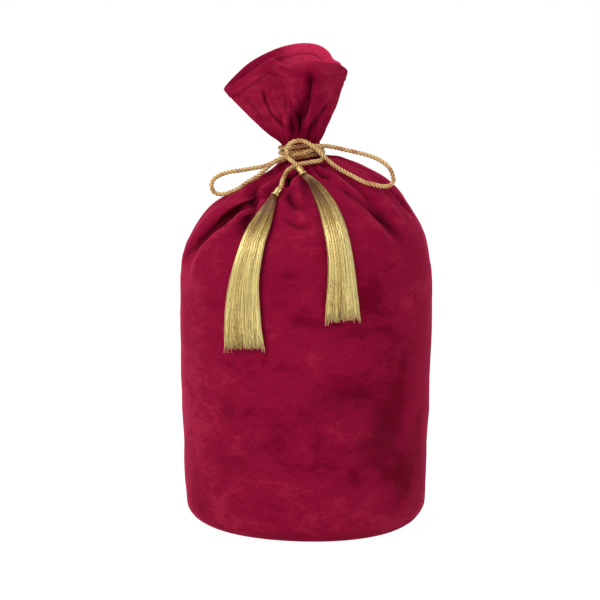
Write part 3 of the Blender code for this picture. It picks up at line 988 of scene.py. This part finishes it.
@dataclass
class TasselSkirt:
    """A tassel's fine threads, which leave the cap and lie on the front of the sack.

    Args:
        side: which tassel it is.
        cap: the cap that holds it.
        cloth: the sack's surface.
        thickness: how far it stands out of the cloth where it is fullest.
        threads: how many threads show.
        bundles: how many locks they fall into.
        thread_radius: radius of a thread.
        cloth_gap: distance between the skirt and the cloth.
        bridge: how far to each side the cloth is felt for.
        strays: how many threads have come loose.
        stations: places down the skirt, found by measure.
        found: points of the cloth that were looked up before.
    """

    side: Side
    cap: TasselCap
    cloth: BVHTree
    thickness: float = 0.0080
    threads: int = 430
    bundles: int = 9
    thread_radius: float = 0.00027
    cloth_gap: float = 0.0008
    bridge: float = 0.004
    strays: int = 10
    stations: list = field(default_factory=list)
    found: dict = field(default_factory=dict)

    def measure(self) -> None:
        """Find each station's middle, side and outward directions on the cloth."""
        rows = LEFT_SKIRT if self.side is Side.LEFT else RIGHT_SKIRT
        top, direction = self.cap.axis()
        root = top + direction * (self.cap.length - 0.001)
        side = Vector((0.0, 1.0, 0.0)).cross(direction).normalized()
        side = side if side.x > 0 else -side
        out = side.cross(direction)
        out = out if out.y < 0 else -out
        self.stations = [(root, side, out, 0.0055, 0.0027, True)]
        centres = [from_neck((across, 0.0, up)) for across, up, _, _ in rows]
        for k, (_, _, width, fullness) in enumerate(rows):
            ahead = centres[min(k + 1, len(centres) - 1)] - centres[max(k - 1, 0)]
            across = Vector((-ahead.z, 0.0, ahead.x)).normalized()
            across = across if across.x > 0 else -across
            self.stations.append((centres[k], across, None, width * MM, fullness, False))

    def cloth_point(self, place: Vector) -> Vector:
        """Point of the sack's front behind a place seen from the front.

        Args:
            place: the place.

        Returns:
            The point.
        """
        nearest = None
        for aside in (-self.bridge, 0.0, self.bridge):
            hit = self.cloth.ray_cast(Vector((place.x + aside, -0.2, place.z)), Vector((0.0, 1.0, 0.0)))[0]
            if hit is not None and (nearest is None or hit.y < nearest):
                nearest = hit.y
        return Vector((place.x, -0.11 if nearest is None else nearest, place.z))

    def place(self, share: float, across: float, layer: float) -> Vector:
        """A point of the skirt.

        Args:
            share: how far down it is, from 0 at the cap to 1 at the ends.
            across: from -1 at its left edge to 1 at its right edge.
            layer: from 0 next to the cloth to 1 on the outside.

        Returns:
            The point.
        """
        position = share * (len(self.stations) - 1)
        index = min(int(position), len(self.stations) - 2)
        t = position - index
        ends = [self.point_at(index + k, across, layer) for k in (-1, 0, 1, 2)]
        return curve_point(ends, t)

    def point_at(self, index: int, across: float, layer: float) -> Vector:
        """A point of the skirt at one station.

        Args:
            index: the station, which may be one beyond either end.
            across: from -1 at its left edge to 1 at its right edge.
            layer: from 0 next to the cloth to 1 on the outside.

        Returns:
            The point.
        """
        last = len(self.stations) - 1
        if index < 0:
            return 2 * self.point_at(0, across, layer) - self.point_at(1, across, layer)
        if index > last:
            return 2 * self.point_at(last, across, layer) - self.point_at(last - 1, across, layer)
        middle, side, out, width, fullness, is_root = self.stations[index]
        dome = math.sqrt(max(0.0, 1.0 - across**2))
        if is_root:
            return middle + side * across * width / 2 + out * (2 * layer - 1) * dome * fullness
        key = (index, round(across, 2))
        if key not in self.found:
            self.found[key] = self.cloth_point(middle + side * key[1] * width / 2)
        under = self.found[key] + side * (across - key[1]) * width / 2
        lift = self.cloth_gap + self.thread_radius + layer * (0.0010 + self.thickness * fullness * dome)
        return under + Vector((0.0, -1.0, 0.25)).normalized() * lift

    def comb(self, finish: bpy.types.Material) -> bpy.types.Object:
        """Build the skirt.

        Args:
            finish: its material.

        Returns:
            The skirt.
        """
        self.measure()
        draw = random.Random(11 if self.side is Side.LEFT else 23)
        bm = bmesh.new()
        tone = bm.verts.layers.float.new("tone")
        self.add_core(bm, tone)
        rows = 16
        section = np.array([(math.tau * k / 3, self.thread_radius) for k in range(3)])
        depths = [draw.uniform(-0.10, 0.04) for _ in range(self.bundles)]
        tones = [draw.uniform(-0.15, 0.15) for _ in range(self.bundles)]
        for number in range(self.threads):
            bundle = number % self.bundles
            middle = -1.0 + (2 * bundle + 1) / self.bundles
            across = (middle + draw.gauss(0.0, 0.50) / self.bundles) * 0.93
            layer = 0.98 - 0.34 * draw.random() ** 1.3 + depths[bundle]
            own_tone = draw.uniform(-0.42, 0.22) + tones[bundle]
            sway = draw.uniform(-0.04, 0.04)
            wander = draw.uniform(0, math.tau)
            ragged = draw.uniform(-1.3, 1.3)
            end = 1.0 - 0.075 * draw.random() ** 1.6 + draw.uniform(0.0, 0.020)
            line = []
            for k in range(rows + 1):
                share = end * k / rows
                drift = sway * share + 0.018 * math.sin(wander + 9.0 * share) * min(1.0, 2 * share)
                loose = max(0.0, share - 0.70) ** 1.5 * ragged
                spot = self.place(share, max(-0.97, min(0.97, across + drift + loose)), layer)
                line.append(spot)
            thick = np.ones(rows + 1)
            thick[-1] = 0.5
            verts = lay_tube(bm, np.array(line), section, thick, np.zeros(rows + 1))
            columns = len(section) + 1
            for index, vert in enumerate(verts):
                share = end * (index // columns) / rows
                vert[tone] = self.tone_at(share) + own_tone * (0.8 + 0.6 * share**3)
        self.add_strays(bm, tone, draw)
        close_tube(bm)
        skirt = to_object(f"threads_{self.side.value}", bm, finish)
        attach(skirt, BODY)
        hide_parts(f"tassel_skirt_{self.side.value}")
        LOG.info("tassel %s: %d threads", self.side.value, self.threads)
        return skirt

    def tone_at(self, share: float) -> float:
        """How light the threads are down the skirt: brown at the cap, gold from the middle on.

        Args:
            share: how far down it is, from 0 at the cap to 1 at the ends.

        Returns:
            The tone.
        """
        places = (0.00, 0.10, 0.24, 0.36, 0.48, 0.62, 0.85, 1.00)
        tones = (0.03, 0.08, 0.22, 0.52, 0.84, 1.02, 0.96, 0.96)
        return float(np.interp(share, places, tones))

    def add_core(self, bm: bmesh.types.BMesh, tone: object) -> None:
        """Add the dense middle of the skirt, under the threads that show, toned dark as painted shade
        between the threads.

        Args:
            bm: the skirt's mesh.
            tone: the layer that holds each thread's tone.
        """
        rows, columns = 30, 28
        made = bmesh.ops.create_grid(bm, x_segments=2 * columns, y_segments=rows, size=0.5, calc_uvs=True)
        verts = sorted(made["verts"], key=lambda v: (round(v.co.y * rows), v.co.x))
        wide = 2 * columns + 1
        for index, vert in enumerate(verts):
            row, column = divmod(index, wide)
            share = 0.97 * row / rows
            turn = math.tau * column / (2 * columns)
            across = 0.88 * math.cos(turn)
            layer = 0.42 + 0.34 * math.sin(turn)
            vert.co = self.place(share, across, layer)
            # Painted shade: the middle is toned much darker than the threads that lie over it.
            vert[tone] = 0.42 * self.tone_at(share) + 0.08 * (column % 2)

    def add_strays(self, bm: bmesh.types.BMesh, tone: object, draw: random.Random) -> None:
        """Add the few threads that have come loose from the skirt.

        Args:
            bm: the skirt's mesh.
            tone: the layer that holds each thread's tone.
            draw: the source of chance.
        """
        section = np.array([(math.tau * k / 3, self.thread_radius * 0.5) for k in range(3)])
        steps = 12
        for _ in range(self.strays):
            across = draw.choice((-1.0, 1.0)) * draw.uniform(0.6, 0.92)
            start = draw.uniform(0.60, 0.88)
            reach = draw.uniform(-0.001, 0.003) * (1 if across > 0 else -1)
            line = []
            for k in range(steps + 1):
                share = start + (1.03 - start) * k / steps
                spot = self.place(share, across, 0.7)
                spot.x += reach * (k / steps) ** 1.6
                on_cloth = self.cloth_point(spot)
                spot.y = min(spot.y, on_cloth.y - self.cloth_gap)
                line.append(spot)
            for vert in lay_tube(bm, np.array(line), section, np.ones(steps + 1), np.zeros(steps + 1)):
                vert[tone] = 0.8


@dataclass
class SackCloth:
    """The filled sack: its body, gathered neck and open ruff, in one skin of velvet.

    Args:
        hem_depth: distance of the stitch line from the hem's edge.
        hem_zone: height above which the hem is looked for.
        stitch_length: distance from one pucker of the stitch line to the next.
        gather_depth: depth of the gathers beside the tie.
        dent_depths: depths of the large and the small dents.
        subdivisions: how often the solid's faces are divided.
        folds: fold lines of the shoulders and the body.
        pleats: fold lines of the ruff.
        strokes: where the pile has been brushed, and where light and shade are painted.
        pulls: where the cloth is drawn out or pressed in.
        cavity_rounds: how widely a fold's depth is judged.
        cavity_depth: depth of a fold that is fully in the shade.
    """

    hem_depth: float = 0.0120
    hem_zone: float = 0.415
    stitch_length: float = 0.0035
    gather_depth: float = 0.0013
    dent_depths: tuple[float, float] = (0.0013, 0.0005)
    subdivisions: int = 2
    folds: tuple[Fold, ...] = (
        Fold(((205, 344), (219, 327), (214, 313), (208, 304), (203, 293), (196, 279), (188, 264)),
             7.2, 8.0),
        Fold(((227, 315), (222, 299), (213, 285), (200, 270)), 2.8, 4.6, FoldKind.RIDGE),
        Fold(((229, 320), (219, 305), (210, 293), (200, 280), (190, 265)), 1.6, 2.4),
        Fold(((182, 350), (204, 334), (202, 320), (194, 304), (187, 287)), 2.4, 7.0, FoldKind.RIDGE),
        Fold(((218, 338), (222, 327), (231, 318), (231, 306), (231, 290)), 5.2, 6.4),
        Fold(((228, 352), (244, 342), (256, 332), (267, 316)), 6.6, 5.6),
        Fold(((255, 317), (259, 311), (265, 307), (271, 307), (277, 312)), 1.7, 3.8),
        Fold(((261, 321), (268, 315), (275, 318)), 2.4, 7.0, FoldKind.RIDGE),
        Fold(((280, 360), (289, 354), (299, 346)), 3.4, 3.4),
        Fold(((298, 347), (304, 334), (311, 324), (320, 310), (325, 295), (330, 272)), 2.0, 8.5),
        Fold(((298, 346), (304, 335), (311, 325), (320, 312), (326, 296), (331, 276)), 0.8, 2.8),
        Fold(((325, 350), (324, 335), (327, 317), (332, 297)), 2.2, 6.5, FoldKind.RIDGE),
        Fold(((298, 338), (305, 318), (312, 304), (318, 290)), 1.8, 6.0, FoldKind.RIDGE),
        Fold(((237, 330), (243, 312), (246, 296)), 1.4, 6.0),
        Fold(((345, 352), (342, 335), (345, 318), (347, 300)), 2.6, 5.0),
        Fold(((8, 356), (12, 338), (14, 318), (15, 292)), 3.6, 5.5),
        Fold(((30, 352), (36, 334), (40, 316)), 2.6, 4.5),
        Fold(((58, 356), (64, 338), (66, 316), (67, 286)), 4.0, 6.0),
        Fold(((84, 352), (88, 336), (88, 318)), 2.6, 4.6),
        Fold(((108, 356), (112, 338), (112, 316), (111, 288)), 4.0, 6.0),
        Fold(((132, 352), (140, 336), (145, 318)), 2.6, 4.6),
        Fold(((160, 356), (166, 338), (168, 318), (169, 296)), 3.4, 5.5),
        Fold(((75, 330), (77, 312), (78, 296)), 1.6, 6.0, FoldKind.RIDGE),
        Fold(((124, 334), (127, 314), (129, 298)), 1.6, 6.0, FoldKind.RIDGE),
        Fold(((222, 130), (236, 125), (250, 121), (264, 118)), 1.3, 5.0),
        Fold(((262, 222), (272, 215), (282, 212), (292, 216)), 0.9, 5.5),
        Fold(((300, 232), (312, 226), (326, 228)), 0.8, 6.0),
        Fold(((196, 190), (204, 182), (214, 180)), 0.8, 6.0),
        Fold(((60, 150), (76, 142), (92, 146)), 0.9, 6.0),
        Fold(((120, 210), (134, 202), (150, 206)), 0.9, 6.0),
    )
    pleats: tuple[Fold, ...] = (
        Fold(((298, 452), (296, 440), (293, 428), (284, 413), (276, 402), (267, 385)), 6.8, 6.0),
        Fold(((260, 426), (258, 412), (258, 398), (262, 384)), 5.0, 4.4),
        Fold(((214, 436), (214, 420), (216, 407), (237, 395), (256, 386)), 2.6, 2.2),
        Fold(((332, 422), (316, 407), (304, 397), (286, 386)), 3.2, 4.4),
        Fold(((195, 426), (200, 404), (216, 390)), 1.4, 3.0),
        Fold(((20, 424), (22, 404), (26, 386)), 2.6, 2.6),
        Fold(((62, 430), (66, 408), (70, 386)), 3.4, 3.0),
        Fold(((112, 430), (112, 408), (110, 386)), 3.4, 3.0),
        Fold(((150, 424), (152, 404), (154, 386)), 2.6, 2.6),
    )
    # Most strokes are brushed pile; others are painted light and shade, marked below.
    strokes: tuple[Stroke, ...] = (
        # Painted shade along the sagging fold across the front.
        Stroke(((266, 222), (279, 215), (303, 206), (312, 212)), 12.0, -0.90),
        Stroke(((283, 154), (299, 146), (314, 132)), 17.0, -0.90),
        # Painted shade along a low crease.
        Stroke(((242, 129), (260, 121), (277, 113)), 7.0, -0.90),
        Stroke(((321, 162), (317, 144)), 8.0, -0.70),
        Stroke(((256, 92), (268, 75), (279, 79), (293, 63)), 11.0, -0.75),
        Stroke(((311, 69), (327, 59), (316, 29)), 9.0, -0.75),
        Stroke(((257, 272), (264, 258), (256, 241)), 12.0, -0.55),
        Stroke(((304, 257), (301, 235)), 13.0, -0.65),
        Stroke(((260, 177), (264, 168)), 9.0, -0.55),
        Stroke(((252, 35), (256, 29)), 5.0, -0.50),
        Stroke(((218, 258), (217, 250)), 8.0, -0.35),
        Stroke(((335, 113), (340, 51)), 8.0, -0.60),
        Stroke(((242, 171), (247, 165)), 8.0, -0.35),
        Stroke(((304, 330), (322, 318)), 14.0, -0.30),
        # Painted shade along the valleys of the left shoulder's folds.
        Stroke(((222, 326), (212, 309), (204, 294), (197, 280), (190, 266)), 8.0, -1.00),
        Stroke(((231, 314), (233, 296)), 8.0, -0.60),
        # Painted shade over the front's right side.
        Stroke(((304, 240), (312, 190), (322, 110), (318, 60)), 32.0, -0.50),
        # Painted shade down the ruff's pleat valleys.
        Stroke(((296, 442), (291, 424), (281, 408), (268, 388)), 8.0, -1.90),
        Stroke(((258, 414), (259, 400), (262, 386)), 5.0, -0.90),
        Stroke(((322, 412), (306, 398), (292, 388)), 7.0, -0.70),
        Stroke(((276, 434), (272, 414)), 9.0, 0.30),
        Stroke(((322, 448), (330, 428)), 10.0, 0.40),
        # Painted light down the lit left side of the front.
        Stroke(((209, 233), (208, 154), (211, 76), (226, 32)), 22.0, 0.45),
        Stroke(((222, 124), (237, 116), (246, 114)), 6.0, 0.50),
        Stroke(((309, 232), (327, 234)), 9.0, 0.45),
        Stroke(((268, 110), (281, 106), (293, 106)), 8.0, 0.50),
        Stroke(((273, 186), (291, 191)), 6.0, 0.50),
        Stroke(((304, 94), (327, 97)), 8.0, 0.40),
        Stroke(((268, 236), (279, 228)), 6.0, 0.40),
        Stroke(((304, 49), (321, 49)), 8.0, 0.40),
        Stroke(((238, 89), (252, 58), (268, 44)), 10.0, 0.40),
        # Painted sheen along the left edge.
        Stroke(((184, 250), (176, 190), (188, 130), (182, 50)), 34.0, 0.65),
        Stroke(((170, 120), (150, 90), (140, 70)), 16.0, -0.50),
        # Painted highlight on a ridge of the shoulder.
        Stroke(((262, 322), (268, 316), (275, 319)), 9.0, 0.25),
        Stroke(((60, 250), (75, 180), (95, 150)), 20.0, 0.45),
        Stroke(((30, 180), (50, 120), (80, 90)), 18.0, -0.55),
        Stroke(((110, 230), (130, 160), (150, 130)), 18.0, -0.50),
        Stroke(((100, 90), (130, 70), (160, 60)), 16.0, 0.45),
        Stroke(((0, 240), (10, 180), (5, 110)), 18.0, 0.35),
    )
    pulls: tuple[Pull, ...] = (
        Pull((-69.0, -2.0, 63.0), (-2.6, 0.0, -0.4), 18.0),
        Pull((84.5, -80.0, -345.0), (2.2, -4.0, 0.0), 42.0),
        Pull((44.5, -105.0, -357.0), (0.8, -3.0, 0.0), 45.0),
        Pull((16.6, -25.8, -11.0), (-0.5, 1.4, -2.3), 14.0),
        Pull((-23.0, -61.5, -41.5), (0.2, 1.2, -0.2), 11.0),
    )
    cavity_rounds: int = 14
    cavity_depth: float = 0.0022

    def build(self, finish: bpy.types.Material) -> bpy.types.Object:
        """Build the sack's skin from its solid.

        Args:
            finish: its material.

        Returns:
            The sack.
        """
        fine = self.refine()
        bm = bmesh.new()
        bm.from_mesh(fine)
        bpy.data.meshes.remove(fine)
        self.open_hem_rows(bm)
        bm.normal_update()
        self.sculpt(bm)
        skin = to_object("velvet_skin", bm, finish)
        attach(skin, BODY)
        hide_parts("sack")
        LOG.info("sack: %d faces", len(skin.data.polygons))
        return skin

    def refine(self) -> bpy.types.Mesh:
        """Copy the solid's mesh, make it quads and smooth it once for all.

        Returns:
            The fine mesh.
        """
        bm = bmesh.new()
        bm.from_mesh(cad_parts["sack"].data)
        bmesh.ops.remove_doubles(bm, verts=bm.verts[:], dist=1e-6)
        bmesh.ops.join_triangles(bm, faces=bm.faces[:], angle_face_threshold=math.radians(60),
                                 angle_shape_threshold=math.radians(60), cmp_seam=False)
        coarse = bpy.data.meshes.new("coarse")
        bm.to_mesh(coarse)
        bm.free()
        carrier = bpy.data.objects.new("carrier", coarse)
        bpy.context.scene.collection.objects.link(carrier)
        smooth = carrier.modifiers.new("smooth", "SUBSURF")
        smooth.levels = self.subdivisions
        smooth.render_levels = self.subdivisions
        fine = bpy.data.meshes.new_from_object(
            carrier.evaluated_get(bpy.context.evaluated_depsgraph_get()))
        bpy.data.objects.remove(carrier)
        bpy.data.meshes.remove(coarse)
        return fine

    def hem_line(self) -> np.ndarray:
        """The hem's edge as a closed line.

        Returns:
            Its points, in metres.
        """
        return smooth_line(HEM, 0.003, closed=True)

    def open_hem_rows(self, bm: bmesh.types.BMesh) -> None:
        """Cut finer rows into the cloth where the hem's stitch line runs.

        Args:
            bm: the sack's mesh.
        """
        line = self.hem_line()
        points = np.array([vert.co for vert in bm.verts])
        away = np.full(len(points), 1.0)
        high = points[:, 2] > self.hem_zone
        away[high] = distance_to_line(points[high], line)[0]
        bm.verts.index_update()
        low, top = self.hem_depth - 0.0035, self.hem_depth + 0.0035
        cut = []
        for edge in bm.edges:
            a, b = (away[vert.index] for vert in edge.verts)
            crosses = min(a, b) < top and max(a, b) > low
            if crosses and abs(a - b) > 0.6 * edge.calc_length():
                cut.append(edge)
        bmesh.ops.subdivide_edges(bm, edges=cut, cuts=3, use_grid_fill=True)

    def on_cloth(self, tree: BVHTree, line: tuple) -> np.ndarray:
        """Points of the cloth at azimuths and heights, seen from the ruff's own middle above the tie.

        Args:
            tree: the sack's surface.
            line: azimuth in degrees and height in millimetres of each point.

        Returns:
            The points.
        """
        points = []
        for azimuth, height in line:
            turn = math.radians(azimuth)
            out = Vector((math.cos(turn), math.sin(turn), 0.0))
            start = Vector((0.0, 0.0, height * MM))
            if height > NECK_MIDDLE[2]:
                start.x = (NECK_MIDDLE[0] - 0.12 * (height - NECK_MIDDLE[2])) * MM
            hit = tree.ray_cast(start + out * 0.25, -out)[0]
            points.append(hit if hit is not None else start + out * 0.02)
        return np.array(points)

    def sculpt(self, bm: bmesh.types.BMesh) -> None:
        """Press the folds, gathers, hem and small creases into the cloth, and paint shade into its folds
        and dips and light onto its crests.

        Args:
            bm: the sack's mesh.
        """
        tree = BVHTree.FromBMesh(bm)
        points = np.array([vert.co for vert in bm.verts])
        normals = np.array([vert.normal for vert in bm.verts])
        inward = np.zeros(len(points))
        hollow = np.zeros(len(points))
        for fold in self.folds + self.pleats:
            away, along = distance_to_line(points, self.on_cloth(tree, fold.line))
            spread = fold.width * MM * (0.55 + 0.65 * along)
            ends = np.clip(np.minimum(along / 0.22, (1 - along) / 0.45), 0, 1)
            ends = ends * ends * (3 - 2 * ends)
            shape = np.exp(-((away / spread) ** 2))
            lips = 0.28 * np.exp(-(((away / spread) - 1.8) ** 2) / 0.5)
            if fold.kind is FoldKind.VALLEY:
                inward += fold.depth * MM * ends * (shape - lips)
                # Painted shade down the valley.
                hollow += 0.9 * ends * np.exp(-((away / (0.75 * spread)) ** 2)) * min(1.0, fold.depth / 3.5)
            else:
                inward -= fold.depth * MM * ends * shape
        inward += self.gathers(points)
        inward += self.crumples(points)
        seam, seam_shade = self.hem(points)
        inward += seam
        nap = self.pile_and_light_tone(tree, points, normals)
        painted_shade_layer = bm.verts.layers.float.new("hollow")
        pile_and_light_layer = bm.verts.layers.float.new("nap")
        base = smoothstep(0.001, 0.012, points[:, 2])
        moved = points - normals * (inward * base)[:, None]
        for pull in self.pulls:
            away = np.linalg.norm(points - np.array(from_neck(pull.place)), axis=1)
            near = np.exp(-((away / (pull.reach * MM)) ** 2))
            moved += near[:, None] * np.array(pull.shift) * MM
        for vert, spot in zip(bm.verts, moved):
            vert.co = spot
        bm.normal_update()
        depth = self.cavity(bm, moved)
        # Painted shade in folds, dips and along the stitch line, and painted light on crests.
        hollow = np.clip(np.maximum(0.55 * hollow + np.maximum(depth, 0.0), seam_shade), 0, 1)
        nap = nap + 0.9 * np.clip(-depth - 0.15, 0, 1)
        for vert, shade, lift in zip(bm.verts, hollow, nap):
            vert[painted_shade_layer] = shade
            vert[pile_and_light_layer] = lift

    def cavity(self, bm: bmesh.types.BMesh, points: np.ndarray) -> np.ndarray:
        """How deep each point lies in a dip of the cloth, or, below zero, how high on a crest. It sets the
        painted shade in dips and the painted light on crests.

        Args:
            bm: the sack's mesh.
            points: its points.

        Returns:
            One share for each point.
        """
        normals = np.array([vert.normal for vert in bm.verts])
        bm.verts.index_update()
        ends = np.array([[vert.index for vert in edge.verts] for edge in bm.edges])
        count = len(points)
        meeting = np.bincount(ends.ravel(), minlength=count)[:, None]
        soft = points.copy()
        for _ in range(self.cavity_rounds):
            total = np.empty_like(soft)
            for axis in range(3):
                total[:, axis] = np.bincount(ends[:, 0], soft[ends[:, 1], axis], count)
                total[:, axis] += np.bincount(ends[:, 1], soft[ends[:, 0], axis], count)
            soft = total / meeting
        return ((soft - points) * normals).sum(axis=1) / self.cavity_depth

    def pile_and_light_tone(self, tree: BVHTree, points: np.ndarray, normals: np.ndarray) -> np.ndarray:
        """How much lighter or darker the velvet is made, by brushed pile and by painted light and shade:
        above zero where it is lighter.

        Args:
            tree: the sack's surface.
            points: its points.
            normals: the directions they face.

        Returns:
            One value for each point.
        """
        nap = np.zeros(len(points))
        for stroke in self.strokes:
            away, _ = distance_to_line(points, self.on_cloth(tree, stroke.line))
            nap += stroke.lift * np.exp(-((away / (stroke.width * MM)) ** 2))
        # Painted light on the right part of the inside of the ruff's back wall, painted shade on its left
        # part; the whole ruff is made lighter.
        inside = smoothstep(0.425, 0.440, points[:, 2]) * smoothstep(0.0, 0.5, -normals[:, 1])
        inside *= smoothstep(-0.005, 0.010, points[:, 1])
        ruff = smoothstep(0.385, 0.410, points[:, 2])
        return nap + inside * (2.2 * smoothstep(-0.055, -0.005, points[:, 0]) - 0.9) + 0.60 * ruff

    def gathers(self, points: np.ndarray) -> np.ndarray:
        """Narrow gathers that run out from under the tie.

        Args:
            points: the cloth's points.

        Returns:
            How far each point moves inwards.
        """
        tilt = np.array(Matrix.Rotation(-math.radians(NECK_TILT_DEG), 3, "Y"))
        local = (points - np.array(NECK_MIDDLE) * MM) @ tilt
        level = local[:, 2]
        reach = np.hypot(local[:, 0], local[:, 1])
        azimuth = np.arctan2(local[:, 1], local[:, 0])
        near = np.exp(-((np.abs(level) - 0.010) / 0.013) ** 2) * smoothstep(0.0065, 0.0105, np.abs(level))
        near *= smoothstep(0.100, 0.060, reach)
        swirl = azimuth + 0.10 * np.sin(3 * azimuth + 1.0) + 0.06 * np.sin(7 * azimuth)
        ridges = 0.6 * np.cos(19 * swirl) + 0.4 * np.cos(31 * swirl + 2.0)
        return near * ridges * self.gather_depth

    def crumples(self, points: np.ndarray) -> np.ndarray:
        """Small uneven dents of a soft cloth over a loose filling.

        Args:
            points: the cloth's points.

        Returns:
            How far each point moves inwards.
        """
        large, small = self.dent_depths
        out = np.empty(len(points))
        for index, (x, y, z) in enumerate(points):
            spot = Vector((x, y, z * 1.25))
            out[index] = large * noise.noise(spot * 26.0) + small * noise.noise(spot * 75.0)
        return out * smoothstep(0.470, 0.410, points[:, 2])

    def hem(self, points: np.ndarray) -> tuple[np.ndarray, np.ndarray]:
        """The double hem round the ruff: a thick edge and a puckered stitch line.

        Args:
            points: the cloth's points.

        Returns:
            How far each point moves inwards, and how shaded it is.
        """
        line = self.hem_line()
        high = points[:, 2] > self.hem_zone
        away = np.full(len(points), 1.0)
        along = np.zeros(len(points))
        away[high], along[high] = distance_to_line(points[high], line)
        length = np.linalg.norm(np.diff(line, axis=0), axis=1).sum()
        pucker = 0.75 + 0.25 * np.cos(math.tau * along * round(length / self.stitch_length))
        groove = np.exp(-(((away - self.hem_depth) / 0.0009) ** 2))
        roll = np.exp(-(((away - self.hem_depth + 0.0030) / 0.0024) ** 2))
        moved = 0.00075 * groove * pucker - 0.00045 * roll
        faint = smoothstep(-0.030, -0.012, points[:, 0]) * smoothstep(0.0, -0.01, points[:, 1])
        return moved * (1 - 0.6 * faint), 0.55 * groove * pucker * (1 - 0.75 * faint)


def main() -> None:
    """Build the studio and the dressed sack."""
    logging.basicConfig(level=logging.INFO, format="%(name)s: %(message)s")
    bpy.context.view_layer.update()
    Studio().set_up()
    cord = GoldCord()
    rope = cord.twist(GoldCordFinish().dye())
    skin = SackCloth().build(VelvetFinish().dye())
    cloth = BVHTree.FromObject(skin, bpy.context.evaluated_depsgraph_get())
    metal = GoldMetalFinish().dye()
    thread = GoldThreadFinish().dye()
    for side in Side:
        cap = TasselCap(side)
        cap.turn(metal)
        TasselSkirt(side, cap, cloth).comb(thread)


if __name__ == "__main__":
    main()
